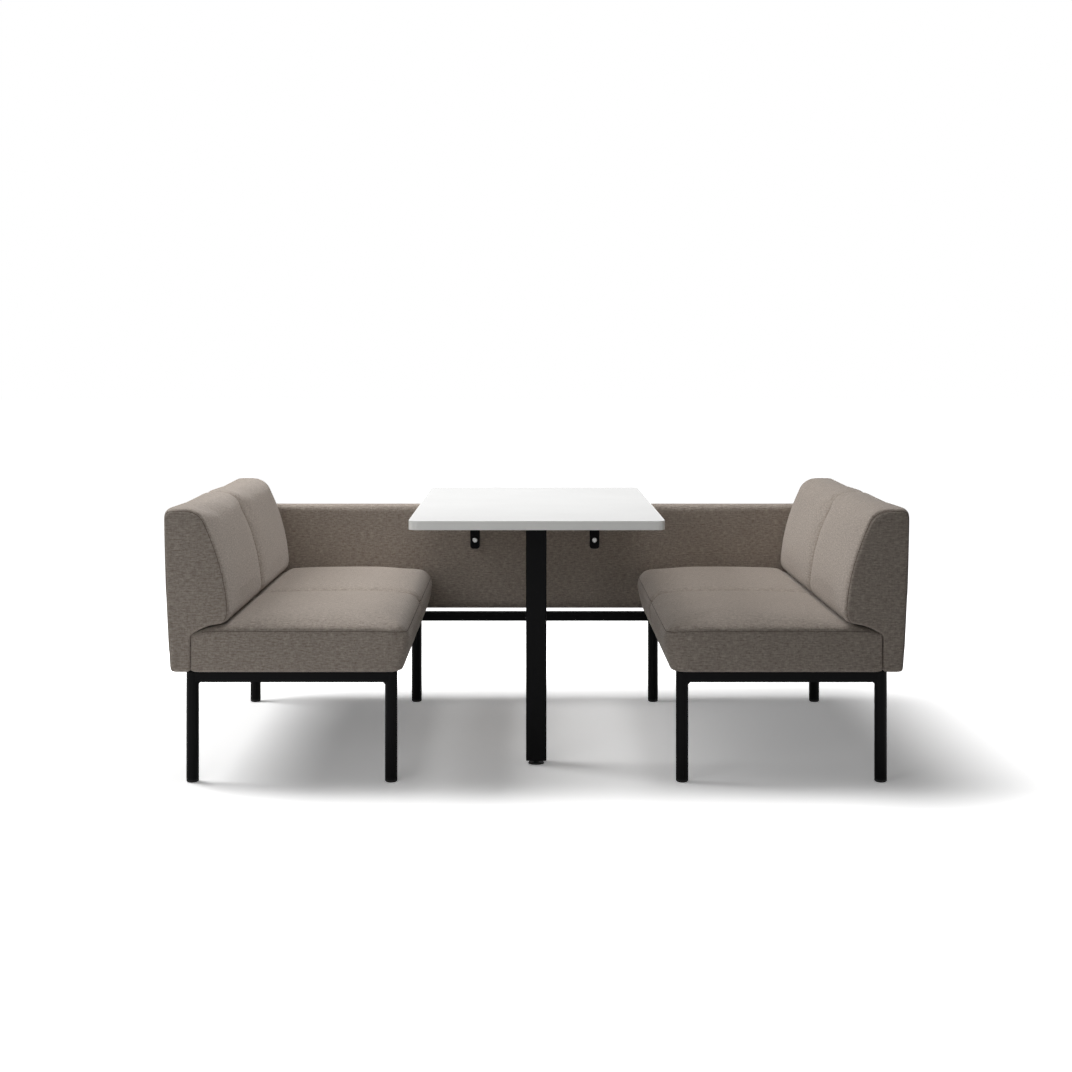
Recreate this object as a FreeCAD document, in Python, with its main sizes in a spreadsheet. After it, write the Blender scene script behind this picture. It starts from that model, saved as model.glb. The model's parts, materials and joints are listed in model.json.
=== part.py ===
import FreeCAD, Part
import Sketcher
import os
import re

from FreeCAD import Rotation, Vector

# A four-seat booth: two upholstered benches that face each other across a table, tied together at the
# rear by an upholstered panel and a crossbar. Millimetres, +Z up, +X to the right bench, +Y to the rear
# panel. The origin is on the floor under the middle of the booth. "out" is the distance from the middle
# plane, on either side.

SIZES = {
    # Seat pads
    "bench_length": 1200,
    "pad_gap": 0.5,
    "pad_rise": 2,
    "seat_nose": 354,
    "seat_undercut": 22,
    "seat_nose_bulge": 3.5,
    "seat_depth": 607,
    "seat_side": 111,
    "seat_crown": 32,
    "seat_seam_drop": 10,
    "seat_roll": 48,
    "seat_roll_lead": 13,
    "seat_shoulder_drop": 5,
    "nose_corner": 40,
    "module_corner": 12,
    # Back pads
    "back_foot": 59,
    "back_lean": 18,
    "back_belly": 3,
    "back_height": 455,
    "back_top_corner": 20,
    "back_crown": 3,
    "back_edge": 10,
    "chin_sink": 7,
    "chin_clearance": 1,
    "chin_belly": 11,
    "chin_reach": 105,
    "chin_slope": 32,
    "chin_round": 14,
    "chin_rise": 44,
    "face_setback": 17,
    "face_height": 148,
    "brow_setback": 62,
    "brow_drop": 42,
    "head_setback": 122,
    "head_round_setback": 84,
    "head_round_drop": 12,
    # Seat decks and back boards
    "deck_thickness": 15,
    "deck_inset": 14,
    "deck_nose_inset": 6,
    "board_thickness": 18,
    "board_setback": 17,
    "board_foot": 5,
    "board_head": 34,
    "joint_inset": 3,
    # Leg frames
    "leg_diameter": 35,
    "leg_wall": 2,
    "leg_nose_setback": 54,
    "leg_back_reach": 4,
    "leg_inset": 50,
    "leg_cap": 3,
    "frame_top": 311,
    "rail_size": 30,
    "rail_wall": 2,
    "weld_size": 7,
    "weld_length": 12,
    "long_rail_gap": 4.5,
    # Glides of the bench legs
    "glide_height": 8,
    "glide_chamfer": 3,
    "glide_plug": 20,
    "glide_clearance": 0.05,
    # Crossbar
    "crossbar_gap": 1,
    "crossbar_drop": 6,
    "crossbar_bolt_gap": 19.5,
    "crossbar_bolt_pitch": 36,
    "crossbar_end": 9,
    # Rear panel
    "panel_thickness": 65,
    "panel_height": 369,
    "panel_end_setback": 1,
    "panel_corner": 18,
    "panel_crown": 2,
    "panel_end_inset": 6,
    "core_thickness": 18,
    "core_cover": 23,
    "core_inset": 22,
    "core_foot": 10,
    # Table
    "table_width": 715,
    "table_length": 1200,
    "table_thickness": 25,
    "table_top": 735,
    "table_corner": 25,
    "band_thickness": 2,
    "laminate_thickness": 1,
    # Table column and its leveller
    "column_size": 60,
    "column_wall": 3,
    "column_corner": 5,
    "column_setback": 265,
    "column_plate_size": 180,
    "column_plate_thickness": 6,
    "column_plate_corner": 10,
    "column_plate_edge": 20,
    "plug_height": 30,
    "plug_clearance": 0.05,
    "leveller_gap": 5,
    "foot_diameter": 48,
    "foot_thickness": 4,
    "foot_hub_diameter": 18,
    "foot_hub_height": 8,
    "foot_floor": 2,
    "spindle_diameter": 10,
    "spindle_length": 46,
    "spindle_clearance": 0.05,
    "spindle_end_gap": 0.1,
    # Steel angles
    "angle_bend": 3,
    "table_bracket_out": 208,
    "table_bracket_width": 33,
    "table_bracket_thickness": 5,
    "table_bracket_reach": 120,
    "table_bracket_bolt": 158,
    "table_bracket_tail": 18,
    "table_bracket_gap": 0.2,
    "table_bracket_screw_edge": 24,
    "table_bracket_screw_pitch": 48,
    "table_bolt_edge": 40,
    "back_bracket_width": 40,
    "back_bracket_thickness": 5,
    "back_bracket_height": 205,
    "back_bracket_gap": 12.5,
    "panel_bracket_width": 40,
    "panel_bracket_thickness": 6,
    "panel_bracket_height": 205,
    "panel_bracket_gap": 31.5,
    "panel_bracket_pitch": 290,
    "slot_clearance": 2,
    # Fasteners
    "deck_screw_bite": 10,
    "screw_diameter": 6,
    "screw_head": 12,
    "screw_head_height": 4,
    "wood_screw_diameter": 5,
    "wood_screw_head": 10,
    "wood_screw_head_height": 3,
    "wood_screw_bite": 11,
    "wood_screw_low": 75,
    "wood_screw_edge": 30,
    "bolt_diameter": 8,
    "bolt_head": 18,
    "bolt_head_height": 5,
    "bolt_tail": 3,
    "nut_size": 15,
    "nut_height": 6.5,
    "tee_nut_flange": 22,
    "tee_nut_flange_height": 1.5,
    "tee_nut_barrel": 11,
    "tee_nut_depth": 10,
    "hole_clearance": 0.2,
}

# Places that follow from the sizes
DERIVED = {
    # Along the benches, from the open front to the rear panel
    "front": "-(bench_length + panel_thickness) / 2",
    "panel_front": "front + bench_length",
    "middle": "front + bench_length / 2",
    "front_pads_end": "middle - pad_gap / 2",
    "rear_pads_start": "middle + pad_gap / 2",
    "rear_pads_end": "panel_front - pad_gap",
    "leg_front": "front + leg_inset",
    "leg_rear": "panel_front - leg_inset",
    "bracket_edge": "leg_inset + (leg_diameter + back_bracket_width) / 2 + back_bracket_gap",
    # Across a bench, outwards from the middle plane
    "seat_nose_foot": "seat_nose + seat_undercut",
    "back_face": "seat_nose + seat_depth",
    "back_rear": "back_face + back_foot",
    "deck_corner": "nose_corner - sqrt(nose_corner ^ 2 - (nose_corner - deck_inset) ^ 2)",
    "deck_low": "seat_nose_foot + deck_corner + deck_nose_inset",
    "deck_high": "back_face - deck_inset",
    "board_high": "back_rear - board_setback",
    "board_low": "board_high - board_thickness",
    "leg_out_inner": "seat_nose + leg_nose_setback",
    "leg_out_outer": "back_face + leg_back_reach",
    "long_rail_inset": "(leg_diameter + rail_size) / 2 + long_rail_gap",
    "long_rail_inner": "leg_out_inner + long_rail_inset",
    "long_rail_outer": "leg_out_outer - long_rail_inset",
    # Heights of a bench
    "rail_bottom": "frame_top - rail_size",
    "deck_top": "frame_top + deck_thickness",
    "seat_bottom": "frame_top + pad_rise",
    "seat_edge": "seat_bottom + seat_side",
    "chin_height": "seat_edge + seat_crown - chin_sink",
    "back_top": "seat_bottom + back_height",
    "board_bottom": "seat_bottom + board_foot",
    "board_top": "back_top - board_head",
    # Crossbar
    "crossbar_front": "leg_rear + max(leg_diameter; rail_size) / 2 + crossbar_gap",
    "crossbar_rear": "crossbar_front + rail_size",
    "crossbar_spacer": "crossbar_front - leg_rear - rail_size / 2",
    "crossbar_top": "frame_top - crossbar_drop",
    "crossbar_axis": "crossbar_top - rail_size / 2",
    "crossbar_bolt_inner": "leg_out_inner + leg_diameter / 2 + crossbar_bolt_gap",
    "crossbar_bolt_outer": "crossbar_bolt_inner + crossbar_bolt_pitch",
    "crossbar_reach": "crossbar_bolt_outer + crossbar_end",
    # Rear panel
    "panel_bottom": "frame_top + pad_rise",
    "panel_top": "panel_bottom + panel_height",
    "panel_reach": "back_rear - panel_end_setback",
    "core_rear": "panel_front + panel_thickness - core_cover",
    "core_front": "core_rear - core_thickness",
    "core_bottom": "panel_bottom + core_foot",
    "core_top": "panel_top - core_inset",
    "core_reach": "panel_reach - core_inset",
    "panel_bracket_inner": "crossbar_reach + panel_bracket_width / 2 + panel_bracket_gap",
    "panel_bracket_outer": "panel_bracket_inner + panel_bracket_pitch",
    # Table, hung on the panel and carried by its column
    "table_bottom": "table_top - table_thickness",
    "table_middle": "panel_front - table_length / 2",
    "table_bolt_height": "min(core_top - table_bolt_edge; table_bottom - table_bracket_bolt)",
    "table_bracket_drop": "table_bottom - table_bolt_height + table_bracket_tail",
    "column_y": "panel_front - table_length + column_setback",
    "column_top": "table_bottom - column_plate_thickness",
    "column_bottom": "foot_hub_height + leveller_gap",
    "column_plate_pitch": "column_plate_size - 2 * column_plate_edge",
}

# Share of a quarter round's radius by which its middle stands back from the corner
ROUND_SHARE = 1 - 0.5 ** 0.5

NODES = []

doc = FreeCAD.newDocument("Booth")
sheet = doc.addObject("Spreadsheet::Sheet", "Sizes")
for row, (alias, number) in enumerate(SIZES.items(), start=1):
    sheet.set("A%d" % row, alias)
    sheet.set("B%d" % row, str(number))
    sheet.setAlias("B%d" % row, alias)
for row, (alias, formula) in enumerate(DERIVED.items(), start=len(SIZES) + 1):
    sheet.set("A%d" % row, alias)
    sheet.set("B%d" % row, "=" + formula)
    sheet.setAlias("B%d" % row, alias)
doc.recompute()


def size(alias):
    """A size read from the sheet."""
    return float(getattr(sheet, alias))


def in_sheet(formula):
    """The formula with every size name pointed at the sheet."""
    return re.sub(r"[a-z]\w*", lambda word: "Sizes." + word.group(0), str(formula))


def bind(item, **formulas):
    """Bind properties of a document object to formulas over the sheet."""
    for name, formula in formulas.items():
        item.setExpression(name, in_sheet(formula))


def place(item, x, y, z):
    """Bind the position of a document object to formulas over the sheet."""
    for axis, formula in zip("xyz", (x, y, z)):
        item.setExpression("Placement.Base." + axis, in_sheet(formula))


def node(item, label):
    """Name a finished sub-part and list it for writing."""
    item.Label = label
    NODES.append(item)
    return item


def block(name, out, y, z, side=1):
    """A box between pairs of formulas. On the left side the outward distances count along -X."""
    item = doc.addObject("Part::Box", name)
    bind(
        item,
        Length="(%s) - (%s)" % (out[1], out[0]),
        Width="(%s) - (%s)" % (y[1], y[0]),
        Height="(%s) - (%s)" % (z[1], z[0]),
    )
    place(item, out[0] if side > 0 else "-(%s)" % out[1], y[0], z[0])
    return item


def upright(name, radius, out, y, z, side=1):
    """A vertical cylinder between a pair of heights."""
    item = doc.addObject("Part::Cylinder", name)
    bind(item, Radius=radius, Height="(%s) - (%s)" % (z[1], z[0]))
    place(item, "%d * (%s)" % (side, out), y, z[0])
    return item


def cut(name, base, tool):
    item = doc.addObject("Part::Cut", name)
    item.Base = base
    item.Tool = tool
    return item


def fuse(name, items):
    item = doc.addObject("Part::MultiFuse", name)
    item.Shapes = items
    item.Refine = True
    return item


def group(name, items):
    item = doc.addObject("Part::Compound", name)
    item.Links = items
    return item


def shaped(name, shape):
    """A document object that holds a shape made from the sheet's sizes."""
    item = doc.addObject("Part::Feature", name)
    item.Shape = shape
    return item


def pins(name, radius, spots, direction, length):
    """Like cylinders at many spots, as one group of holes to cut."""
    cylinders = [Part.makeCylinder(radius, length, spot, direction) for spot in spots]
    return shaped(name, Part.makeCompound(cylinders))


def solids_node(label, solids):
    """One node that holds a group of separate solids, such as like fasteners."""
    return node(shaped(label, Part.makeCompound(solids)), label)


def screws(spots, direction, head, head_height, shank, length):
    """Round-headed screws. A spot is a head's seat, and the shank runs from it along the direction."""
    solids = []
    for spot in spots:
        cap = Part.makeCylinder(head / 2, head_height, spot, direction * -1)
        rim = [edge for edge in cap.Edges if isinstance(edge.Curve, Part.Circle)]
        outer = max(rim, key=lambda edge: edge.CenterOfMass.sub(spot).Length)
        cap = cap.makeFillet(head_height / 2, [outer])
        solids.append(cap.fuse(Part.makeCylinder(shank / 2, length, spot, direction)).removeSplitter())
    return solids


def wood_screws(spots, direction, plate):
    """Wood screws through a steel plate into the board behind it."""
    return screws(spots, direction, size("wood_screw_head"), size("wood_screw_head_height"),
                  size("wood_screw_diameter"), size(plate) + size("wood_screw_bite"))


def hole_radius(diameter_alias):
    return size(diameter_alias) / 2 + size("hole_clearance")


def origin_plane(body, role):
    return next(plane for plane in body.Origin.OriginFeatures if plane.Role == role)


def attached_sketch(body, name, role):
    sketch = body.newObject("Sketcher::SketchObject", name)
    sketch.AttachmentSupport = (origin_plane(body, role), [""])
    sketch.MapMode = "FlatFace"
    return sketch


def close_polygon(sketch, corners):
    """Lines through the corners, joined end to end, each kept level or upright."""
    count = len(corners)
    for index in range(count):
        start = Vector(*corners[index], 0)
        finish = Vector(*corners[(index + 1) % count], 0)
        sketch.addGeometry(Part.LineSegment(start, finish), False)
    for index in range(count):
        sketch.addConstraint(Sketcher.Constraint("Coincident", index, 2, (index + 1) % count, 1))
        level = corners[index][1] == corners[(index + 1) % count][1]
        sketch.addConstraint(Sketcher.Constraint("Horizontal" if level else "Vertical", index))


def drive(sketch, kind, line, name, formula):
    """Add a driving length to a sketch line, as long as it is drawn, and bind it to a formula."""
    drawn = sketch.Geometry[line].EndPoint - sketch.Geometry[line].StartPoint
    length = drawn.x if kind == "DistanceX" else drawn.y
    number = sketch.addConstraint(Sketcher.Constraint(kind, line, 1, line, 2, length))
    sketch.renameConstraint(number, name)
    sketch.setExpression("Constraints." + name, in_sheet(formula))


def rectangle(body, name, width, depth):
    """A sketched rectangle, centred on the body's own origin. It is drawn at any size, then driven."""
    sketch = attached_sketch(body, name, "XY_Plane")
    close_polygon(sketch, [(-50, -40), (50, -40), (50, 40), (-50, 40)])
    sketch.addConstraint(Sketcher.Constraint("Symmetric", 0, 1, 1, 2, -1, 1))
    drive(sketch, "DistanceX", 0, "width", width)
    drive(sketch, "DistanceY", 1, "depth", depth)
    return sketch


def upright_edges(shape, half_width):
    """Names of the vertical edges that stand at a distance from the middle plane."""
    names = []
    for index, edge in enumerate(shape.Edges, start=1):
        first, last = edge.Vertexes[0].Point, edge.Vertexes[-1].Point
        stands = abs(first.x - last.x) + abs(first.y - last.y) < 1e-6
        if stands and abs(abs(first.x) - half_width) < 1e-3:
            names.append("Edge%d" % index)
    return names


def round_corners(body, feature, half_width, radius, name):
    doc.recompute()
    fillet = body.newObject("PartDesign::Fillet", name)
    fillet.Base = (feature, upright_edges(feature.Shape, half_width))
    bind(fillet, Radius=radius)
    return fillet


def rounded_plate(label, width, depth, height, radius):
    """A plate with rounded upright corners, centred on its own origin."""
    body = doc.addObject("PartDesign::Body", label)
    pad = body.newObject("PartDesign::Pad", label + "_pad")
    pad.Profile = rectangle(body, label + "_outline", width, depth)
    bind(pad, Length=height)
    doc.recompute()
    body.Tip = round_corners(body, pad, pad.Shape.BoundBox.XMax, radius, label + "_corners")
    return body


def rounded_ring(label, width, depth, height, radius, wall, y, z):
    """A rounded plate hollowed right through to a wall, such as a band or a square tube, at its place."""
    outer = rounded_plate(label + "_outer", width, depth, height, radius)
    inner_width, inner_depth = ("%s - 2 * %s" % (whole, wall) for whole in (width, depth))
    inner = rounded_plate(label + "_inner", inner_width, inner_depth, height, "%s - %s" % (radius, wall))
    for body in (outer, inner):
        place(body, "0", y, z)
    return node(cut(label, outer, inner), label)


def angle(name, foot, height, thickness, width, turn):
    """A bent steel angle: its foot runs along +Y and its upright along +Z, and then it is turned."""
    body = doc.addObject("PartDesign::Body", name)
    sketch = attached_sketch(body, name + "_profile", "YZ_Plane")
    close_polygon(sketch, [(0, 0), (60, 0), (60, 5), (5, 5), (5, 90), (0, 90)])
    drive(sketch, "DistanceX", 0, "foot", foot)
    drive(sketch, "DistanceY", 1, "sheet", thickness)
    drive(sketch, "DistanceX", 4, "edge", "-(%s)" % thickness)
    drive(sketch, "DistanceY", 5, "height", "-(%s)" % height)
    sketch.addConstraint(Sketcher.Constraint("Coincident", 0, 1, -1, 1))
    pad = body.newObject("PartDesign::Pad", name + "_pad")
    pad.Profile = sketch
    pad.Midplane = True
    bind(pad, Length=width)
    doc.recompute()
    sheet_steel = size(thickness)
    bends = []
    for corner in (Vector(0, 0, 0), Vector(0, sheet_steel, sheet_steel)):
        for index, edge in enumerate(pad.Shape.Edges, start=1):
            if edge.CenterOfMass.sub(corner).Length < 1e-3:
                bends.append("Edge%d" % index)
    fillet = body.newObject("PartDesign::Fillet", name + "_bend")
    fillet.Base = (pad, bends)
    bind(fillet, Radius="angle_bend")
    body.Tip = fillet
    body.Placement.Rotation = turn
    return body


def outline(start, steps, at):
    """A closed wire: a step of one point is a line there, a step of two an arc through the first."""
    edges = []
    here = at(*start)
    for step in steps:
        there = at(*step[-1])
        if len(step) == 1:
            edges.append(Part.LineSegment(here, there).toShape())
        else:
            edges.append(Part.Arc(here, at(*step[0]), there).toShape())
        here = there
    return Part.Wire(edges)


def skin(wires):
    """A closed solid skinned over a row of outlines, straight from each one to the next."""
    solid = Part.makeLoft(wires, True, True)
    if solid.Volume < 0:
        solid.reverse()
    return solid


# Where the pads of a bench's two modules begin and end
MODULES = {
    "front": ("front", "front_pads_end"),
    "rear": ("rear_pads_start", "rear_pads_end"),
}
BENCHES = {"left": -1, "right": 1}


def module_span(module):
    """First and last Y of a bench module's pads."""
    return [size(alias) for alias in MODULES[module]]


def stations(module, free_steps, joint_steps):
    """Pairs of Y and shape along a module. Steps are (distance from an end, shape), free end first."""
    first, last = module_span(module)
    near, far = (free_steps, joint_steps) if module == "front" else (joint_steps, free_steps)
    rows = [(first + distance, shape) for distance, shape in near]
    return rows + [(last - distance, shape) for distance, shape in reversed(far)]


# How a cushion swells from its sewn end: the distance as a share of the end's corner, and the share of
# the crown that has risen there. Where the corner ends, the crown is settled.
CROWN_SHARES = ((0.0, 0.0), (0.07, 0.24), (0.25, 0.44), (0.55, 0.62), (1.0, 0.76), (2.0, 0.9), (4.0, 1.0))
SETTLED_SHARE = 0.76

# The crown that a seat pad has at its very end: nearly none at its free end, about half at the joint
FREE_CROWN_SHARE = 0.06
JOINT_CROWN_SHARE = 0.45

# Height of the middle of the seat's front roll between the seam and the shoulder
ROLL_SHARE = 0.62

# How much less a back pad's rear face is drawn in at its ends than its front, and where its chin bends
REAR_DRAW_SHARE = 0.6
CHIN_BEND_SHARE = 0.4


def quarter_round(radius, share):
    """How far a quarter round of this radius stands back at a share of the radius from its end."""
    return radius * (1 - (1 - (1 - min(share, 1.0)) ** 2) ** 0.5)


def seat_end(corner, low_crown):
    """End of a seat pad by distance: how far the nose is drawn in and how much of the crown has risen."""
    return [(corner * share, (quarter_round(corner, share), low_crown + (1 - low_crown) * rise))
            for share, rise in CROWN_SHARES]


def seat_pad(side, module):
    """Seat cushion: undercut nose, front roll above its seam, crowned top that dips under the back's chin."""
    bottom, edge = size("seat_bottom"), size("seat_edge")
    rear = size("back_face") - size("pad_gap")
    chin = size("chin_height") - size("chin_clearance")
    tuck = size("back_face") - size("chin_reach")
    roll, seam = size("seat_roll"), edge - size("seat_seam_drop")
    wires = []
    free_end = seat_end(size("nose_corner"), FREE_CROWN_SHARE)
    joint_end = seat_end(size("module_corner"), JOINT_CROWN_SHARE)
    for y, (inset, rise) in stations(module, free_end, joint_end):
        top = edge + size("seat_crown") * rise
        shoulder = edge + (size("seat_crown") - size("seat_shoulder_drop")) * rise
        front, foot = size("seat_nose") + inset, size("seat_nose_foot") + inset
        roll_top = edge + (shoulder - edge) * ROLL_SHARE
        tuck_top = min(chin, shoulder)
        tuck_mid = min(chin - size("chin_belly"), shoulder - size("seat_shoulder_drop"))
        steps = [
            ((foot, bottom),),
            (((front + foot) / 2 - size("seat_nose_bulge"), (bottom + seam) / 2), (front, seam)),
            ((front + size("seat_roll_lead"), roll_top), (front + roll, shoulder)),
            (((front + roll + tuck) / 2, top), (tuck, tuck_top)),
            (((tuck + rear) / 2, tuck_mid), (rear, chin - size("chin_slope"))),
            ((rear, bottom),),
        ]
        wires.append(outline((rear, bottom), steps, lambda out, z, y=y: Vector(side * out, y, z)))
    return skin(wires)


def swell(rise):
    """How much of a back pad's swelling is there where this share of the crown has risen."""
    return max(rise - SETTLED_SHARE, 0) / (1 - SETTLED_SHARE)


def back_end(corner, crown):
    """End of a back pad by distance: how far its faces are drawn in, less than nothing where they swell."""
    return [(corner * share, quarter_round(corner, share) - crown * swell(rise))
            for share, rise in CROWN_SHARES]


def back_pad(side, module):
    """Back cushion: slim foot behind the seat, chin over it, leaning front face, rounded head."""
    bottom, face, foot = size("seat_bottom"), size("back_face"), size("back_rear")
    chin, reach, slope = size("chin_height"), size("chin_reach"), size("chin_slope")
    corner, chin_round, chin_rise = size("back_top_corner"), size("chin_round"), size("chin_rise")
    eased = corner * ROUND_SHARE
    wires = []
    ends = back_end(size("back_edge"), size("back_crown"))
    for y, inset in stations(module, ends, ends):
        drawn_in = max(inset, 0)
        head = size("back_top") - inset
        lip = face - reach + inset
        heel = foot - drawn_in * REAR_DRAW_SHARE
        rear = foot + size("back_lean") - inset * REAR_DRAW_SHARE
        chin_bend = (face - reach * CHIN_BEND_SHARE, chin - slope * ROUND_SHARE)
        chin_front = (lip + chin_round * ROUND_SHARE * (1 - drawn_in / reach), chin + chin_round)
        face_middle = (lip + size("face_setback"), chin + size("face_height"))
        brow = (lip + size("brow_setback"), head - size("brow_drop"))
        head_round = (lip + size("head_round_setback"), head - size("head_round_drop"))
        belly = ((rear + heel) / 2 + size("back_belly"), (head - corner + bottom) / 2)
        steps = [
            ((face, bottom),),
            ((face, chin - slope),),
            (chin_bend, (face - reach + chin_round, chin)),
            (chin_front, (lip, chin + chin_rise)),
            (face_middle, brow),
            (head_round, (lip + size("head_setback"), head)),
            ((rear - corner, head),),
            ((rear - eased, head - eased), (rear, head - corner)),
            (belly, (heel, bottom)),
        ]
        wires.append(outline((heel, bottom), steps, lambda out, z, y=y: Vector(side * out, y, z)))
    return skin(wires)


def panel_pad():
    """Rear panel cushion over the whole width: flat foot, slightly crowned faces, rounded head."""
    front, thick = size("panel_front"), size("panel_thickness")
    bottom, top, corner = size("panel_bottom"), size("panel_top"), size("panel_corner")
    crown, reach, end = size("panel_crown"), size("panel_reach"), size("panel_end_inset")
    eased = corner * ROUND_SHARE
    ends = [(reach - end * share, quarter_round(end, share)) for share, rise in CROWN_SHARES if share <= 1]
    wires = []
    for x, inset in [(-x, inset) for x, inset in ends] + ends[::-1]:
        near, far = front + inset, front + thick - inset
        head = top - inset
        middle = (bottom + head - corner) / 2
        steps = [
            ((far - crown, bottom),),
            ((far, middle), (far - crown, head - corner)),
            ((far - crown - eased, head - eased), (far - crown - corner, head)),
            ((near + crown + corner, head),),
            ((near + crown + eased, head - eased), (near + crown, head - corner)),
            ((near, middle), (near + crown, bottom)),
        ]
        wires.append(outline((near + crown, bottom), steps, lambda y, z, x=x: Vector(x, y, z)))
    return skin(wires)


def deck_spots(side, module, rail, height):
    """Screw places of a seat deck along one long rail."""
    first, last = module_span(module)
    edge = size("bracket_edge")
    return [Vector(side * size(rail), y, height) for y in (first + edge, last - edge)]


def bracket_places(module):
    """Y formulas of the two back brackets of a module, at its deck screws."""
    first, last = MODULES[module]
    return ("%s + bracket_edge" % first, "%s - bracket_edge" % last)


# Leg frames: two round legs and a cross rail, welded, with a weld fillet in each inner corner
LEG_ROWS = {"front": "leg_front", "rear": "leg_rear"}


def leg_frame(bench, row):
    side, y = BENCHES[bench], LEG_ROWS[row]
    name = "%s_%s_leg_frame" % (bench, row)
    half = "rail_size / 2"
    legs = ["leg_out_inner", "leg_out_outer"]
    solids = [
        upright("%s_leg%d" % (name, index), "leg_diameter / 2", out, y, ("glide_height", "frame_top"), side)
        for index, out in enumerate(legs)
    ]
    solids.append(block(name + "_rail", legs, ("%s - %s" % (y, half), "%s + %s" % (y, half)),
                        ("rail_bottom", "frame_top"), side))
    for index, (out, sign) in enumerate(zip(legs, (1, -1))):
        weld = doc.addObject("Part::Wedge", "%s_weld%d" % (name, index))
        bind(weld, Xmin="0", Xmax="weld_size + leg_wall", X2min="0", X2max="0", Ymin="0",
             Ymax="weld_size + leg_wall", Zmin="0", Zmax="weld_length", Z2min="0", Z2max="weld_length")
        lean = Rotation(Vector(1, 0, 0), -90)
        turned = side * sign < 0
        weld.Placement.Rotation = Rotation(Vector(0, 0, 1), 180).multiply(lean) if turned else lean
        shift = "+ weld_length / 2" if turned else "- weld_length / 2"
        place(weld, "%d * (%s + %d * (leg_diameter / 2 - leg_wall))" % (side, out, sign),
              "%s %s" % (y, shift), "rail_bottom")
        solids.append(weld)
    hollows = [
        upright("%s_bore%d" % (name, index), "leg_diameter / 2 - leg_wall", out, y,
                ("glide_height", "frame_top - leg_cap"), side)
        for index, out in enumerate(legs)
    ]
    inner = ["leg_out_inner + leg_diameter / 2", "leg_out_outer - leg_diameter / 2"]
    hollows.append(block(name + "_rail_hollow", inner,
                         ("%s - %s + rail_wall" % (y, half), "%s + %s - rail_wall" % (y, half)),
                         ("rail_bottom + rail_wall", "frame_top - rail_wall"), side))
    if row == "rear":
        hollows.append(pins(name + "_bolt_holes", hole_radius("bolt_diameter"), crossbar_bolt_spots(side),
                            Vector(0, -1, 0), size("crossbar_rear") - size("leg_rear")))
        hollows.append(pins(name + "_bracket_holes", hole_radius("bolt_diameter"), panel_bolt_spots(side),
                            Vector(0, 0, 1), size("panel_bracket_thickness") + 2 * size("rail_wall")))
    return node(cut(name, fuse(name + "_solid", solids), group(name + "_hollows", hollows)), name)


def crossbar_bolt_spots(side):
    """Seats of the bolt heads on the rear face of the crossbar."""
    return [Vector(side * size("crossbar_bolt_" + which), size("crossbar_rear"), size("crossbar_axis"))
            for which in ("inner", "outer")]


def panel_bracket_outs():
    return [size("panel_bracket_" + which) for which in ("inner", "outer")]


def panel_bolt_spots(side):
    """Seats of the bolt heads under the feet of the panel brackets."""
    height = size("rail_bottom") - size("panel_bracket_thickness")
    return [Vector(side * out, size("leg_rear"), height) for out in panel_bracket_outs()]


def long_rail(bench, which):
    side, out = BENCHES[bench], "long_rail_" + which
    name = "%s_%s_long_rail" % (bench, which)
    half = "rail_size / 2"
    wide = ("%s - %s" % (out, half), "%s + %s" % (out, half))
    along = ("leg_front + %s" % half, "leg_rear - %s" % half)
    outer = block(name + "_outer", wide, along, ("rail_bottom", "frame_top"), side)
    inner = block(name + "_inner", (wide[0] + " + rail_wall", wide[1] + " - rail_wall"), along,
                  ("rail_bottom + rail_wall", "frame_top - rail_wall"), side)
    spots = [spot for module in MODULES for spot in deck_spots(side, module, out, size("rail_bottom"))]
    holes = pins(name + "_holes", hole_radius("screw_diameter"), spots, Vector(0, 0, 1), size("rail_size"))
    return node(cut(name, outer, group(name + "_hollow", [inner, holes])), name)


def glide(bench, row, which):
    """Plastic glide pushed into the foot of a leg: chamfered foot and plug."""
    side, y, out = BENCHES[bench], LEG_ROWS[row], "leg_out_" + which
    name = "%s_%s_%s_glide" % (bench, row, which)
    foot = doc.addObject("Part::Cone", name + "_foot")
    bind(foot, Radius1="leg_diameter / 2 - glide_chamfer", Radius2="leg_diameter / 2", Height="glide_chamfer")
    place(foot, "%d * (%s)" % (side, out), y, "0")
    rim = upright(name + "_rim", "leg_diameter / 2", out, y, ("glide_chamfer", "glide_height"), side)
    plug = upright(name + "_plug", "leg_diameter / 2 - leg_wall - glide_clearance", out, y,
                   ("glide_chamfer", "glide_height + glide_plug"), side)
    return node(fuse(name, [foot, rim, plug]), name)


def seat_deck(bench, module):
    side = BENCHES[bench]
    name = "%s_%s_seat_deck" % (bench, module)
    spots = [spot for which in ("inner", "outer")
             for spot in deck_spots(side, module, "long_rail_" + which, size("frame_top"))]
    holes = pins(name + "_holes", hole_radius("screw_diameter"), spots, Vector(0, 0, 1),
                 size("deck_screw_bite"))
    return node(cut(name, deck_block(name + "_board", side, module), holes), name)


def deck_block(name, side, module):
    return block(name, ("deck_low", "deck_high"), deck_reach(module), ("frame_top", "deck_top"), side)


def deck_reach(module):
    """Y formulas of a board inside a module, set in more at the free end than at the joint."""
    first, last = MODULES[module]
    near, far = ("deck_inset", "joint_inset") if module == "front" else ("joint_inset", "deck_inset")
    return ("%s + %s" % (first, near), "%s - %s" % (last, far))


def board_block(name, side, module):
    return block(name, ("board_low", "board_high"), deck_reach(module), ("board_bottom", "board_top"), side)


def upright_screw_heights(bracket):
    """Heights of the wood screws in the upright of a bracket that hangs under a rail."""
    low = size("rail_bottom") - size(bracket + "_thickness")
    return [low + size("wood_screw_low"), low + size(bracket + "_height") - size("wood_screw_edge")]


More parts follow.
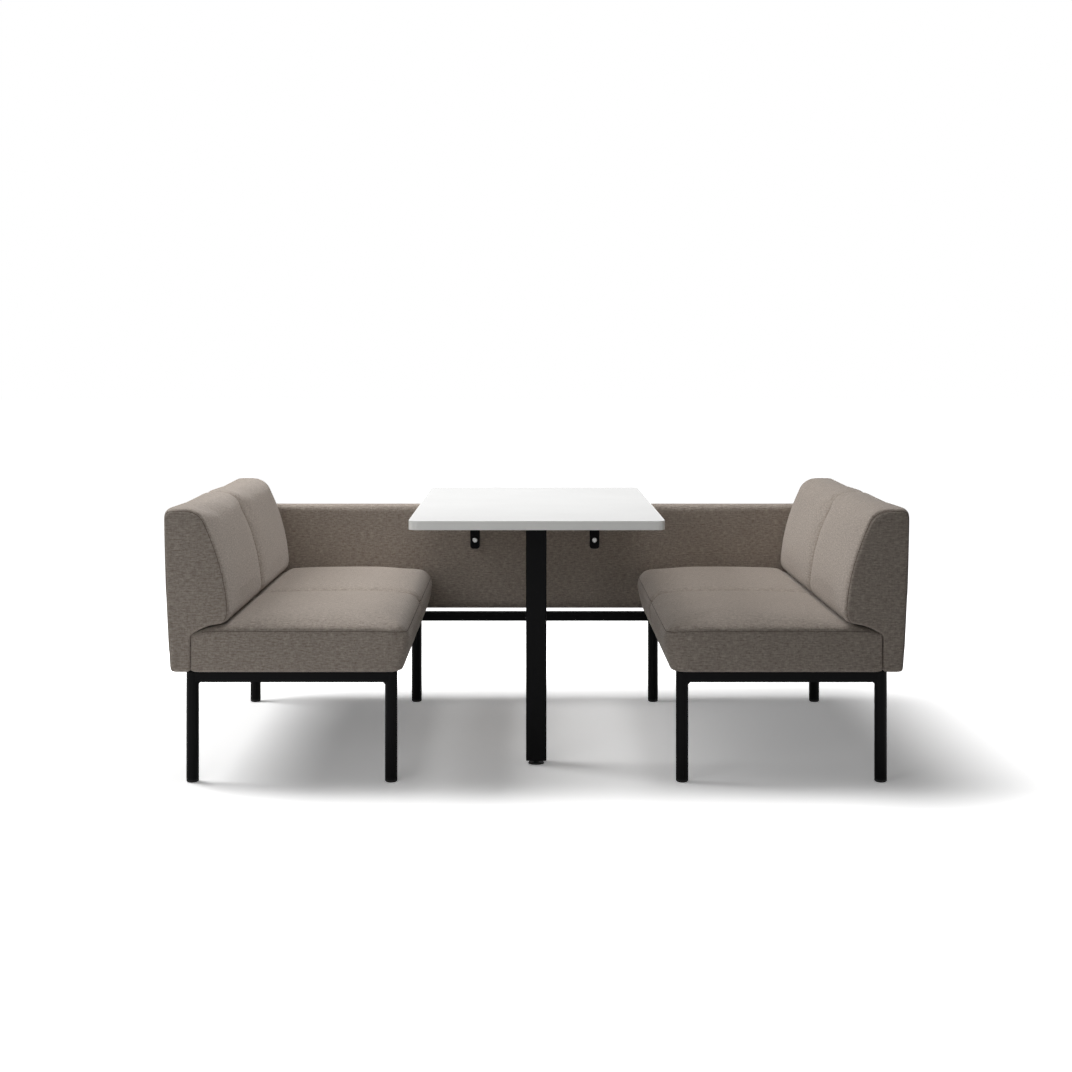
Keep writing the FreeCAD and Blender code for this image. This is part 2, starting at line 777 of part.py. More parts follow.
def bracket_screw_spots(side, module):
    """Seats of the wood screws on the back brackets of a module."""
    heights = upright_screw_heights("back_bracket")
    out = size("board_low") - size("back_bracket_thickness")
    return [Vector(side * out, spot.y, height)
            for spot in deck_spots(side, module, "long_rail_outer", 0) for height in heights]


def back_board(bench, module):
    side = BENCHES[bench]
    name = "%s_%s_back_board" % (bench, module)
    holes = pins(name + "_holes", hole_radius("wood_screw_diameter"), bracket_screw_spots(side, module),
                 Vector(side, 0, 0), size("back_bracket_thickness") + size("wood_screw_bite"))
    return node(cut(name, board_block(name + "_board", side, module), holes), name)


def back_brackets(bench):
    """Steel angles under the outer long rail that stand up against the back boards."""
    side = BENCHES[bench]
    name = bench + "_back_brackets"
    turn = Rotation(Vector(0, 0, 1), 90 * side)
    angles = []
    for module in MODULES:
        for index, y in enumerate(bracket_places(module)):
            item = angle("%s_%s_%d" % (name, module, index), "board_low - long_rail_outer + rail_size / 2",
                         "back_bracket_height", "back_bracket_thickness", "back_bracket_width", turn)
            place(item, "%d * board_low" % side, y, "rail_bottom - back_bracket_thickness")
            angles.append(item)
    low = size("rail_bottom") - size("back_bracket_thickness")
    spots = [spot for module in MODULES for spot in deck_spots(side, module, "long_rail_outer", low)]
    holes = [pins(name + "_rail_holes", hole_radius("screw_diameter"), spots, Vector(0, 0, 1),
                  size("back_bracket_thickness"))]
    spots = [spot for module in MODULES for spot in bracket_screw_spots(side, module)]
    holes.append(pins(name + "_board_holes", hole_radius("wood_screw_diameter"), spots, Vector(side, 0, 0),
                      size("back_bracket_thickness")))
    return node(cut(name, group(name + "_angles", angles), group(name + "_holes", holes)), name)


def padded_seat(bench, module):
    side = BENCHES[bench]
    name = "%s_%s_seat_pad" % (bench, module)
    cushion = shaped(name + "_cushion", seat_pad(side, module))
    return node(cut(name, cushion, deck_block(name + "_recess", side, module)), name)


def padded_back(bench, module):
    side = BENCHES[bench]
    name = "%s_%s_back_pad" % (bench, module)
    cushion = shaped(name + "_cushion", back_pad(side, module))
    recesses = [board_block(name + "_recess", side, module)]
    half = "(back_bracket_width / 2 + slot_clearance)"
    for index, middle in enumerate(bracket_places(module)):
        recesses.append(block("%s_slot%d" % (name, index), ("back_face - slot_clearance", "board_low"),
                              ("%s - %s" % (middle, half), "%s + %s" % (middle, half)),
                              ("rail_bottom", "rail_bottom + back_bracket_height"), side))
    return node(cut(name, cushion, group(name + "_recesses", recesses)), name)


def crossbar():
    name = "rear_crossbar"
    reach = ("-crossbar_reach", "crossbar_reach")
    outer = block(name + "_outer", reach, ("crossbar_front", "crossbar_rear"),
                  ("crossbar_top - rail_size", "crossbar_top"))
    inner = block(name + "_inner", reach, ("crossbar_front + rail_wall", "crossbar_rear - rail_wall"),
                  ("crossbar_top - rail_size + rail_wall", "crossbar_top - rail_wall"))
    spots = [spot for side in BENCHES.values() for spot in crossbar_bolt_spots(side)]
    holes = pins(name + "_holes", hole_radius("bolt_diameter"), spots, Vector(0, -1, 0), size("rail_size"))
    return node(cut(name, outer, group(name + "_hollow", [inner, holes])), name)


def crossbar_fasteners():
    """Bolts with their nuts inside the cross rails, and the spacer rings between crossbar and rails."""
    spots = [spot for side in BENCHES.values() for spot in crossbar_bolt_spots(side)]
    forward = Vector(0, -1, 0)
    grip = size("rail_size") + size("crossbar_spacer") + size("rail_wall")
    length = grip + size("nut_height") + size("bolt_tail")
    bolts = screws(spots, forward, size("bolt_head"), size("bolt_head_height"), size("bolt_diameter"), length)
    rings = []
    for spot in spots:
        bolts.append(hex_nut(spot + forward * grip, forward, "bolt_diameter"))
        seat = spot + forward * size("rail_size")
        ring = Part.makeCylinder(size("bolt_head") / 2, size("crossbar_spacer"), seat, forward)
        bore = Part.makeCylinder(hole_radius("bolt_diameter"), grip, spot, forward)
        rings.append(ring.cut(bore))
    solids_node("crossbar_bolts", bolts)
    solids_node("crossbar_spacers", rings)


def hex_nut(seat, direction, thread):
    """A hexagon nut that stands on its seat along a direction."""
    corner = size("nut_size") / 2
    across = Vector(1, 0, 0) if abs(direction.x) < 0.5 else Vector(0, 0, 1)
    points = [seat + Rotation(direction, 60 * turn).multVec(across) * corner for turn in range(7)]
    solid = Part.Face(Part.makePolygon(points)).extrude(direction * size("nut_height"))
    return solid.cut(Part.makeCylinder(hole_radius(thread), size("nut_height"), seat, direction))


def panel_brackets():
    """Steel angles under the rear cross rails that stand up against the rear face of the panel's core."""
    name = "panel_brackets"
    turn = Rotation(Vector(0, 0, 1), 180)
    angles = []
    for bench, side in BENCHES.items():
        for which in ("inner", "outer"):
            item = angle("%s_%s_%s" % (name, bench, which),
                         "core_rear + panel_bracket_thickness - leg_rear + rail_size / 2",
                         "panel_bracket_height", "panel_bracket_thickness", "panel_bracket_width", turn)
            place(item, "%d * panel_bracket_%s" % (side, which),
                  "core_rear + panel_bracket_thickness", "rail_bottom - panel_bracket_thickness")
            angles.append(item)
    spots = [spot for side in BENCHES.values() for spot in panel_bolt_spots(side)]
    holes = [pins(name + "_foot_holes", hole_radius("bolt_diameter"), spots, Vector(0, 0, 1),
                  size("panel_bracket_thickness"))]
    holes.append(pins(name + "_core_holes", hole_radius("wood_screw_diameter"), panel_screw_spots(),
                      Vector(0, -1, 0), size("panel_bracket_thickness")))
    node(cut(name, group(name + "_angles", angles), group(name + "_holes", holes)), name)
    foot = size("panel_bracket_thickness") + size("rail_wall")
    up = Vector(0, 0, 1)
    bolts = screws(spots, up, size("bolt_head"), size("bolt_head_height"), size("bolt_diameter"),
                   foot + size("nut_height") + size("bolt_tail"))
    bolts += [hex_nut(spot + up * foot, up, "bolt_diameter") for spot in spots]
    solids_node("panel_bracket_bolts", bolts)
    core_screws = wood_screws(panel_screw_spots(), Vector(0, -1, 0), "panel_bracket_thickness")
    solids_node("panel_core_screws", core_screws)


def panel_screw_spots():
    """Seats of the wood screws on the uprights of the panel brackets."""
    y = size("core_rear") + size("panel_bracket_thickness")
    heights = upright_screw_heights("panel_bracket")
    return [Vector(side * out, y, height)
            for side in BENCHES.values() for out in panel_bracket_outs() for height in heights]


def table_bolt_spots():
    """Seats of the bolt heads on the uprights of the table brackets."""
    y = size("panel_front") - size("table_bracket_gap") - size("table_bracket_thickness")
    height = size("table_bolt_height")
    return [Vector(side * size("table_bracket_out"), y, height) for side in BENCHES.values()]


def core_block(name):
    return block(name, ("-core_reach", "core_reach"), ("core_front", "core_rear"),
                 ("core_bottom", "core_top"))


def panel():
    """Rear panel: core board, its cushion and the tee nuts that take the table's bracket bolts."""
    rear, spots = Vector(0, 1, 0), table_bolt_spots()
    core = core_block("panel_core_board")
    to_core = size("core_rear") - spots[0].y
    barrel_seats = [spot + rear * (to_core - size("tee_nut_depth")) for spot in spots]
    barrels = pins("panel_core_barrels", hole_radius("tee_nut_barrel"), barrel_seats, rear,
                   size("tee_nut_depth"))
    bolt_holes = pins("panel_core_bolt_holes", hole_radius("bolt_diameter"), spots, rear, to_core)
    screw_holes = pins("panel_core_screw_holes", hole_radius("wood_screw_diameter"),
                       [spot - rear * size("panel_bracket_thickness") for spot in panel_screw_spots()],
                       Vector(0, -1, 0), size("wood_screw_bite"))
    node(cut("panel_core", core, group("panel_core_holes", [barrels, bolt_holes, screw_holes])), "panel_core")

    recesses = [core_block("panel_pad_recess")]
    half = "(panel_bracket_width / 2 + slot_clearance)"
    slot_rear = "core_rear + panel_bracket_thickness + wood_screw_head_height + slot_clearance"
    for bench, side in BENCHES.items():
        for which in ("inner", "outer"):
            middle = "panel_bracket_" + which
            wide = ("%s - %s" % (middle, half), "%s + %s" % (middle, half))
            recesses.append(block("panel_pad_slot_%s_%s" % (bench, which), wide, ("core_rear", slot_rear),
                                  ("rail_bottom", "rail_bottom + panel_bracket_height"), side))
    flange_radius = size("tee_nut_flange") / 2 + size("slot_clearance")
    recesses.append(pins("panel_pad_nut_room", flange_radius, [spot + rear * to_core for spot in spots], rear,
                         size("tee_nut_flange_height") + size("bolt_tail") + size("slot_clearance")))
    recesses.append(pins("panel_pad_bolt_holes", hole_radius("bolt_diameter"), spots, rear, to_core))
    cushion = shaped("panel_pad_cushion", panel_pad())
    node(cut("panel_pad", cushion, group("panel_pad_recesses", recesses)), "panel_pad")

    nuts = []
    for spot in spots:
        seat = spot + rear * to_core
        nut = Part.makeCylinder(size("tee_nut_flange") / 2, size("tee_nut_flange_height"), seat, rear)
        barrel = Part.makeCylinder(size("tee_nut_barrel") / 2, size("tee_nut_depth"), seat, rear * -1)
        through = Part.makeCylinder(hole_radius("bolt_diameter"), 2 * to_core, spot, rear)
        nuts.append(nut.fuse(barrel).removeSplitter().cut(through))
    solids_node("panel_tee_nuts", nuts)
    length = to_core + size("tee_nut_flange_height") + size("bolt_tail")
    bolts = screws(spots, rear, size("bolt_head"), size("bolt_head_height"), size("bolt_diameter"), length)
    solids_node("table_bracket_bolts", bolts)


def table_screw_spots():
    """Seats of the screws under the column plate and under the feet of the table brackets."""
    height = size("table_bottom")
    half = size("column_plate_pitch") / 2
    plate = [Vector(x, size("column_y") + y, height - size("column_plate_thickness"))
             for x in (-half, half) for y in (-half, half)]
    tip = size("panel_front") - size("table_bracket_gap") - size("table_bracket_reach")
    first = tip + size("table_bracket_screw_edge")
    seat = height - size("table_bracket_thickness")
    brackets = [Vector(side * size("table_bracket_out"), y, seat)
                for side in BENCHES.values() for y in (first, first + size("table_bracket_screw_pitch"))]
    return plate, brackets


def table():
    """Table top: core board between two laminate sheets, with a band round its edge."""
    core_width, core_length = "table_width - 2 * band_thickness", "table_length - 2 * band_thickness"
    core_corner = "table_corner - band_thickness"
    plate, brackets = table_screw_spots()
    sheets = {
        "table_bottom_laminate": ("table_bottom", "laminate_thickness"),
        "table_core": ("table_bottom + laminate_thickness", "table_thickness - 2 * laminate_thickness"),
        "table_top_laminate": ("table_top - laminate_thickness", "laminate_thickness"),
    }
    for label, (height, thickness) in sheets.items():
        body = rounded_plate(label + "_sheet", core_width, core_length, thickness, core_corner)
        place(body, "0", "table_middle", height)
        if label == "table_top_laminate":
            node(body, label)
            continue
        holes = pins(label + "_holes", hole_radius("wood_screw_diameter"),
                     [Vector(spot.x, spot.y, size("table_bottom")) for spot in plate + brackets],
                     Vector(0, 0, 1), size("wood_screw_bite"))
        node(cut(label, body, holes), label)
    rounded_ring("table_edge_band", "table_width", "table_length", "table_thickness", "table_corner",
                 "band_thickness", "table_middle", "table_bottom")

    bracket_turn = Rotation(Vector(1, 0, 0), 180)
    for bench, side in BENCHES.items():
        label = bench + "_table_bracket"
        body = angle(label + "_angle", "table_bracket_reach", "table_bracket_drop", "table_bracket_thickness",
                     "table_bracket_width", bracket_turn)
        place(body, "%d * table_bracket_out" % side, "panel_front - table_bracket_gap", "table_bottom")
        mine = [spot for spot in brackets if spot.x * side > 0]
        holes = [pins(label + "_screw_holes", hole_radius("wood_screw_diameter"), mine, Vector(0, 0, 1),
                      size("table_bracket_thickness"))]
        bolt = [spot for spot in table_bolt_spots() if spot.x * side > 0]
        holes.append(pins(label + "_bolt_hole", hole_radius("bolt_diameter"), bolt, Vector(0, 1, 0),
                          size("table_bracket_thickness")))
        node(cut(label, body, group(label + "_holes", holes)), label)
    up = Vector(0, 0, 1)
    solids_node("table_bracket_screws", wood_screws(brackets, up, "table_bracket_thickness"))
    solids_node("column_plate_screws", wood_screws(plate, up, "column_plate_thickness"))


def column():
    """Table column: square tube, welded top plate, threaded plug, and the leveller's spindle and foot."""
    rounded_ring("table_column", "column_size", "column_size", "column_top - column_bottom", "column_corner",
                 "column_wall", "column_y", "column_bottom")
    plate = rounded_plate("column_plate_sheet", "column_plate_size", "column_plate_size",
                          "column_plate_thickness", "column_plate_corner")
    place(plate, "0", "column_y", "column_top")
    holes = pins("column_plate_holes", hole_radius("wood_screw_diameter"), table_screw_spots()[0],
                 Vector(0, 0, 1), size("column_plate_thickness"))
    node(cut("column_top_plate", plate, holes), "column_top_plate")

    plug_size = "column_size - 2 * (column_wall + plug_clearance)"
    plug = rounded_plate("column_plug_block", plug_size, plug_size, "plug_height",
                         "column_corner - column_wall")
    place(plug, "0", "column_y", "column_bottom")
    thread = upright("column_plug_thread", "spindle_diameter / 2 + spindle_clearance", "0", "column_y",
                     ("column_bottom", "column_bottom + plug_height"))
    node(cut("column_foot_plug", plug, thread), "column_foot_plug")

    disc = doc.addObject("Part::Cone", "column_foot_disc")
    bind(disc, Radius1="foot_diameter / 2", Radius2="foot_diameter / 2 - foot_thickness / 2",
         Height="foot_thickness")
    place(disc, "0", "column_y", "0")
    hub = upright("column_foot_hub", "foot_hub_diameter / 2", "0", "column_y", ("0", "foot_hub_height"))
    socket = upright("column_foot_socket", "spindle_diameter / 2 + spindle_clearance", "0", "column_y",
                     ("foot_floor", "foot_hub_height"))
    node(cut("column_foot_pad", fuse("column_foot_solid", [disc, hub]), socket), "column_foot_pad")
    spindle = upright("column_foot_spindle", "spindle_diameter / 2", "0", "column_y",
                      ("foot_floor + spindle_end_gap", "foot_floor + spindle_end_gap + spindle_length"))
    node(spindle, "column_foot_spindle")


def deck_and_back_screws():
    """Screws up through the long rails into the decks, and through the back brackets into the back boards."""
    under_rail, under_bracket, boards = [], [], []
    for side in BENCHES.values():
        for module in MODULES:
            under_rail += deck_spots(side, module, "long_rail_inner", size("rail_bottom"))
            under_bracket += deck_spots(side, module, "long_rail_outer",
                                        size("rail_bottom") - size("back_bracket_thickness"))
            seats = bracket_screw_spots(side, module)
            boards += wood_screws(seats, Vector(side, 0, 0), "back_bracket_thickness")
    up = Vector(0, 0, 1)
    through = size("rail_size") + size("deck_screw_bite")
    head = (size("screw_head"), size("screw_head_height"), size("screw_diameter"))
    decks = screws(under_rail, up, *head, through)
    decks += screws(under_bracket, up, *head, through + size("back_bracket_thickness"))
    solids_node("seat_deck_screws", decks)
    solids_node("back_board_screws", boards)


for bench in BENCHES:
    for row in LEG_ROWS:
        leg_frame(bench, row)
        for which in ("inner", "outer"):
            glide(bench, row, which)
    for which in ("inner", "outer"):
        long_rail(bench, which)
    for module in MODULES:
        seat_deck(bench, module)
        padded_seat(bench, module)
        back_board(bench, module)
        padded_back(bench, module)
    back_brackets(bench)
crossbar()
crossbar_fasteners()
panel_brackets()
panel()
table()
column()
deck_and_back_screws()
doc.recompute()

# Every object has to be sound before a file is written
for item in doc.Objects:
    if {"Invalid", "Error"} & set(item.State):
        raise RuntimeError("%s failed: %s" % (item.Name, item.State))
for item in NODES:
    if item.Shape.isNull() or not item.Shape.isValid() or item.Shape.Volume <= 0:
        raise RuntimeError("%s has no sound shape" % item.Label)

os.makedirs("parts", exist_ok=True)
for item in NODES:
    item.Shape.exportStep("parts/%s.step" % item.Label)
    print("%-28s %2d solid(s) %10.1f cm3" % (item.Label, len(item.Shape.Solids), item.Shape.Volume / 1000))
print(len(NODES), "nodes")
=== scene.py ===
"""Dining booth: two upholstered benches that face each other, a low upholstered panel behind them and a
white table between them. Lengths are in metres."""
import json
import math

import bpy
import numpy as np
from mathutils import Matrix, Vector
from mathutils.bvhtree import BVHTree

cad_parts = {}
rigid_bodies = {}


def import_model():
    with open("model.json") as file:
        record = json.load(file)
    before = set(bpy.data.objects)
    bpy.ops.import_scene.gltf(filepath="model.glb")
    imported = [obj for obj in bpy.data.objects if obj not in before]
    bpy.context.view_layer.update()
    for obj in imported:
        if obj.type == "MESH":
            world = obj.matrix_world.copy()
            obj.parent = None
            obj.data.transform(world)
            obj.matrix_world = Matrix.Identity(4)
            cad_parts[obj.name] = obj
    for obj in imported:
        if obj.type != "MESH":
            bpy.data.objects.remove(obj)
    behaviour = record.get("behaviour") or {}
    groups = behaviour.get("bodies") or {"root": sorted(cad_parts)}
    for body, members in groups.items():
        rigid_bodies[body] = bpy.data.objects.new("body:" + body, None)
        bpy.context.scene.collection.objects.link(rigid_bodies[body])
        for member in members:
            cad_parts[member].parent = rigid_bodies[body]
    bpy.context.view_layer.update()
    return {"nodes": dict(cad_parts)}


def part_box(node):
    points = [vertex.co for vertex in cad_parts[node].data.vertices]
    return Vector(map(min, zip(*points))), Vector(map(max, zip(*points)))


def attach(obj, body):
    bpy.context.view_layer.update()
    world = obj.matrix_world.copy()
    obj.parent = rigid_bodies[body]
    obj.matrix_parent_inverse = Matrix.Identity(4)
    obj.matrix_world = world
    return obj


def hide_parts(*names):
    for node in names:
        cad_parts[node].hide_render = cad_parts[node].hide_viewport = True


for stray in list(bpy.data.objects):
    bpy.data.objects.remove(stray)
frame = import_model()
scene = bpy.context.scene
scene.view_settings.view_transform = "Standard"

MM = 0.001

# A value that ends in FADE or HELD is a pair: where something is full, and where nothing of it is left

# Places along the benches: open front, joint of the two modules, rear end against the panel
FRONT = -632.5 * MM
JOINT = -32.5 * MM
REAR = 567.0 * MM

# Seat pads, outwards from the middle plane and up from the floor
SEAT_NOSE = 354 * MM
SEAT_SEAM = 429 * MM
SEAT_SEAM_END = 930 * MM
NOSE_CORNER = 40 * MM
PAD_BOTTOM = 313 * MM
RECESS_PAST = Vector((0, 0, 5)) * MM

# Fullness of a seat's top: a lip at its open edges, a dome, and a fall towards the nose and the front corner
SEAT_LIP = 5 * MM
LIP_FADE = (8 * MM, 40 * MM)
SEAT_DOME = 5 * MM
DOME_FRONT_FADE = (0, 120 * MM)
DOME_NOSE_FADE = (0, 110 * MM)
SEAT_REAR_DOME = 4 * MM
REAR_DOME_FADE = (50 * MM, 220 * MM)
NOSE_ROUND = 13 * MM
NOSE_ROUND_REACH = 60 * MM
CORNER_ROUND_FADE = (20 * MM, 130 * MM)
UNDER_BACK_FADE = (832 * MM, 866 * MM)
SEAT_SIDE_FADE = (400 * MM, 422 * MM)

# Back pads
BACK_FACE = 961 * MM
BACK_FOOT = 1020 * MM
BACK_LIP = 856 * MM
BACK_REAR = 1038 * MM
BACK_TOP = 768 * MM
BACK_END_INSET = 2.5 * MM
BACK_SEAM_INSET = 3.4 * MM
BACK_REAR_SEAM_INSET = BACK_SEAM_INSET * 0.6
CHIN = 449 * MM

# Slots in a back pad for the two steel brackets that carry its board
SLOT_FACE = 959 * MM
SLOT_BOARD_OVERLAP = 0.5 * MM
SLOT_HEIGHTS = (281 * MM, 486 * MM)
SLOT_INSET = 100 * MM
SLOT_HALF = 22 * MM

# Rear panel: its end seam's foot, and the seam's rounded top corner as millimetres inwards and down
PANEL_SEAM_FOOT = 4 * MM
PANEL_SEAM_CORNER = ((2, 18), (8, 6), (20, 0))

# Joint of two pads: how far faces and tops roll in towards it, with a narrow groove right at the joint
JOINT_REACH = 55 * MM
GROOVE_REACH = 12 * MM
GROOVE_SHARE = 0.45
SEAT_NOSE_ROLL = 4 * MM
SEAT_NOSE_ROLL_FADE = (0, 50 * MM)
SEAT_TOP_ROLL = 14 * MM
SEAT_TOP_ROLL_FADE = (400 * MM, 430 * MM)
BACK_FACE_ROLL = 9 * MM
BACK_FACE_ROLL_FADE = (930 * MM, 1000 * MM)
BACK_TOP_ROLL = 8 * MM
BACK_TOP_ROLL_FADE = (690 * MM, 750 * MM)

# Cushion making
PAD_VOXEL = 8 * MM
PANEL_VOXEL = 9 * MM
MERGE = 0.001 * MM
PLUG_OVERLAP = 3 * MM
CLOTH_FRAMES = 20
CLOTH_PRESSURE = 4
CLOTH_IRONING = 12
COVER_CREASE = math.radians(40)

# Most that a cover swells, and how far past its CAD box it may go at the low and the high corner
SEAT_SWELL = 5 * MM
SEAT_ROOM = (Vector((5, 5, 0)) * MM, Vector((5, 0, 20)) * MM)
BACK_SWELL = 7 * MM
BACK_ROOM = (Vector((5, 5, 0)) * MM, Vector((5, 0, 7)) * MM)
PANEL_SWELL = 6 * MM
PANEL_ROOM = (Vector((0, 0, 0)), Vector((0, 4, 3)) * MM)

# Where a cover is held while it swells
HELD_LEVELS = 20
HEM_HELD = (5 * MM, 22 * MM)
SEAM_HELD = (4 * MM, 12 * MM)
END_HELD = (3 * MM, 10 * MM)
SEAT_JOINT_HELD = (3 * MM, JOINT_REACH)
UNDER_BACK_HELD = (-6 * MM, 30 * MM)
BACK_FRONT_HELD = (4 * MM, 14 * MM)
CHIN_HELD = (4 * MM, 24 * MM)

# Seams, and the pucker where a back pad's seam turns over its head
SEAM_STEP = 4 * MM
SEAM_REACH = 8 * MM
SEAM_DEPTH = 1.4 * MM
SEAM_RADIUS = 0.8 * MM
SEAM_RISE = SEAM_RADIUS * 0.2
SEAM_SMOOTHING = 3
PUCKER_DEPTH = 2.5 * MM
PUCKER_REACH = 45 * MM
PUCKER_OUT = BACK_LIP + 88 * MM
PUCKER_HEIGHT = BACK_TOP - 14 * MM

# Table brackets: the visible plate's reach below the CAD solid, its corners, and how its edges are told
BRACKET_TAIL = 12 * MM
BRACKET_CORNER = 11 * MM
BRACKET_CORNER_STEPS = 6
BRACKET_CREASE = math.radians(35)
BRACKET_FOOT_BAND = 1 * MM
BRACKET_EDGE_LENGTH = 1 * MM
BRACKET_EDGE_LEAN = 0.1 * MM


# Meshes

def activate(piece):
    """Make a piece the only selected and the active one."""
    bpy.ops.object.select_all(action="DESELECT")
    piece.select_set(True)
    bpy.context.view_layer.objects.active = piece


def points_of(mesh):
    """A mesh's vertices as rows of an array."""
    flat = np.empty(len(mesh.vertices) * 3)
    mesh.vertices.foreach_get("co", flat)
    return flat.reshape(-1, 3)


def normals_of(mesh):
    """A mesh's vertex normals as rows of an array."""
    flat = np.empty(len(mesh.vertices) * 3)
    mesh.vertex_normals.foreach_get("vector", flat)
    return flat.reshape(-1, 3)


def move_points(mesh, points):
    """Put a mesh's vertices where the rows of an array say."""
    mesh.vertices.foreach_set("co", points.ravel())
    mesh.update()


def fade(distance, full, none):
    """1 up to the distance full, 0 from the distance none, smooth between them."""
    share = np.clip((none - distance) / (none - full), 0, 1)
    return share * share * (3 - 2 * share)


def apply_modifier(piece, kind, **settings):
    """Give a piece a modifier with these settings and apply it."""
    activate(piece)
    modifier = piece.modifiers.new(kind, kind)
    for name, value in settings.items():
        setattr(modifier, name, value)
    bpy.ops.object.modifier_apply(modifier=modifier.name)


def solid_copy(node, name, plugs):
    """A new piece with the outer form of a CAD solid, its recesses filled by box-shaped plugs."""
    mesh = frame["nodes"][node].data.copy()
    mesh.materials.clear()
    piece = bpy.data.objects.new(name, mesh)
    scene.collection.objects.link(piece)
    activate(piece)
    bpy.ops.mesh.customdata_custom_splitnormals_clear()
    bpy.ops.object.mode_set(mode="EDIT")
    bpy.ops.mesh.select_all(action="SELECT")
    bpy.ops.mesh.remove_doubles(threshold=MERGE)
    for low, high in plugs:
        bpy.ops.mesh.primitive_cube_add(size=1, location=(low + high) / 2, scale=high - low)
    bpy.ops.object.mode_set(mode="OBJECT")
    return piece


def cut_boxes(piece, boxes):
    """Cut boxes out of a pad, one after the other."""
    for low, high in boxes:
        bpy.ops.object.select_all(action="DESELECT")
        bpy.ops.mesh.primitive_cube_add(size=1, location=(low + high) / 2, scale=high - low)
        cutter = bpy.context.object
        apply_modifier(piece, "BOOLEAN", object=cutter, operation="DIFFERENCE", solver="FAST")
        bpy.data.objects.remove(cutter)


def grown(box, by):
    """A box that is larger by the same amount on every side."""
    low, high = box
    return low - Vector((by, by, by)), high + Vector((by, by, by))


def mirrored(piece, name):
    """The same piece for the other bench, with a mesh of its own."""
    mesh = piece.data.copy()
    move_points(mesh, points_of(mesh) * (-1, 1, 1))
    mesh.flip_normals()
    copy = bpy.data.objects.new(name, mesh)
    scene.collection.objects.link(copy)
    return copy


# Places on the left bench, which the right one mirrors

def box_at(out, along, height):
    """A box on the left bench from its outward, lengthwise and height ranges."""
    xs = sorted(-value for value in out)
    return Vector((xs[0], along[0], height[0])), Vector((xs[1], along[1], height[1]))


def on_bench(rows):
    """Turn rows of outward, lengthwise and height values into points on the left bench."""
    return np.array([(-out, along, height) for out, along, height in rows])


def bench_places(piece):
    """The outward, lengthwise and height values of the points of a piece on the left bench."""
    return points_of(piece.data).T * ((-1,), (1,), (1,))


# Upholstery

def polyline_distance(points, line):
    """Distance of each point to the nearest of a line's close-set points."""
    nearest = np.full(len(points), np.inf)
    for spot in line:
        nearest = np.minimum(nearest, np.linalg.norm(points - spot, axis=1))
    return nearest


def close_set(line):
    """Points along a polyline, about one seam step apart."""
    line = np.array(line)
    rows = []
    for start, stop in zip(line[:-1], line[1:]):
        count = max(1, int(np.ceil(np.linalg.norm(stop - start) / SEAM_STEP)))
        rows.extend(start + (stop - start) * part / count for part in range(count))
    rows.append(line[-1])
    return np.array(rows)


def bow(start, middle, stop, count=10):
    """Points of a smooth bow from start through middle to stop."""
    start, middle, stop = (np.array(spot, float) for spot in (start, middle, stop))
    pull = 2 * middle - (start + stop) / 2
    shares = np.linspace(0, 1, count)[:, None]
    return list((1 - shares) ** 2 * start + 2 * (1 - shares) * shares * pull + shares ** 2 * stop)


def foam_block(node, plugs, voxel):
    """A pad's block of foam: the outer form of its CAD solid in small even faces."""
    piece = solid_copy(node, node + "_cover", plugs)
    apply_modifier(piece, "REMESH", mode="VOXEL", voxel_size=voxel)
    apply_modifier(piece, "SMOOTH", factor=0.5, iterations=2)
    return piece


def blow_up(piece, held, swell, box, room):
    """Let a pad's cover swell as cloth under pressure. It stays where held is 1, moves less and less towards
    the limit swell, and goes past its box only by room. The foam under the cover irons its creases out."""
    mesh = piece.data
    start = points_of(mesh)
    group = piece.vertex_groups.new(name="held")
    levels = np.round(held * HELD_LEVELS).astype(int)
    for level in range(1, HELD_LEVELS + 1):
        group.add(np.flatnonzero(levels == level).tolist(), level / HELD_LEVELS, "REPLACE")
    activate(piece)
    cloth = piece.modifiers.new("Cloth", "CLOTH")
    cloth.settings.vertex_group_mass = "held"
    cloth.settings.quality = 3
    cloth.settings.mass = 0.35
    cloth.settings.tension_stiffness = 20
    cloth.settings.compression_stiffness = 20
    cloth.settings.shear_stiffness = 8
    cloth.settings.bending_stiffness = 10
    cloth.settings.use_pressure = True
    cloth.settings.uniform_pressure_force = CLOTH_PRESSURE
    cloth.settings.effector_weights.gravity = 0
    cloth.point_cache.frame_start = 1
    cloth.point_cache.frame_end = CLOTH_FRAMES
    for number in range(1, CLOTH_FRAMES + 1):
        scene.frame_set(number)
    bpy.ops.object.modifier_apply(modifier=cloth.name)
    scene.frame_set(1)
    piece.vertex_groups.clear()
    shift = points_of(mesh) - start
    length = np.maximum(np.linalg.norm(shift, axis=1), 1e-9)
    shift *= (swell * np.tanh(length / swell) / length)[:, None]
    ends = np.empty(len(mesh.edges) * 2, int)
    mesh.edges.foreach_get("vertices", ends)
    near, far = np.concatenate([ends.reshape(-1, 2), ends.reshape(-1, 2)[:, ::-1]]).T
    count = np.bincount(near, minlength=len(start))[:, None]
    for _ in range(CLOTH_IRONING):
        around = np.stack([np.bincount(near, shift[far, axis], len(start)) for axis in range(3)], axis=1)
        shift = (shift + around / count) / 2 * (1 - held)[:, None]
    low, high = np.array(box[0] - room[0]), np.array(box[1] + room[1])
    move_points(mesh, np.clip(start + shift, low, high))


def press_seam(piece, line, depth=SEAM_DEPTH):
    """Press the cover in along a seam."""
    points, normals = points_of(piece.data), normals_of(piece.data)
    pressed = depth * fade(polyline_distance(points, line), 0, SEAM_REACH)
    move_points(piece.data, points - normals * pressed[:, None])


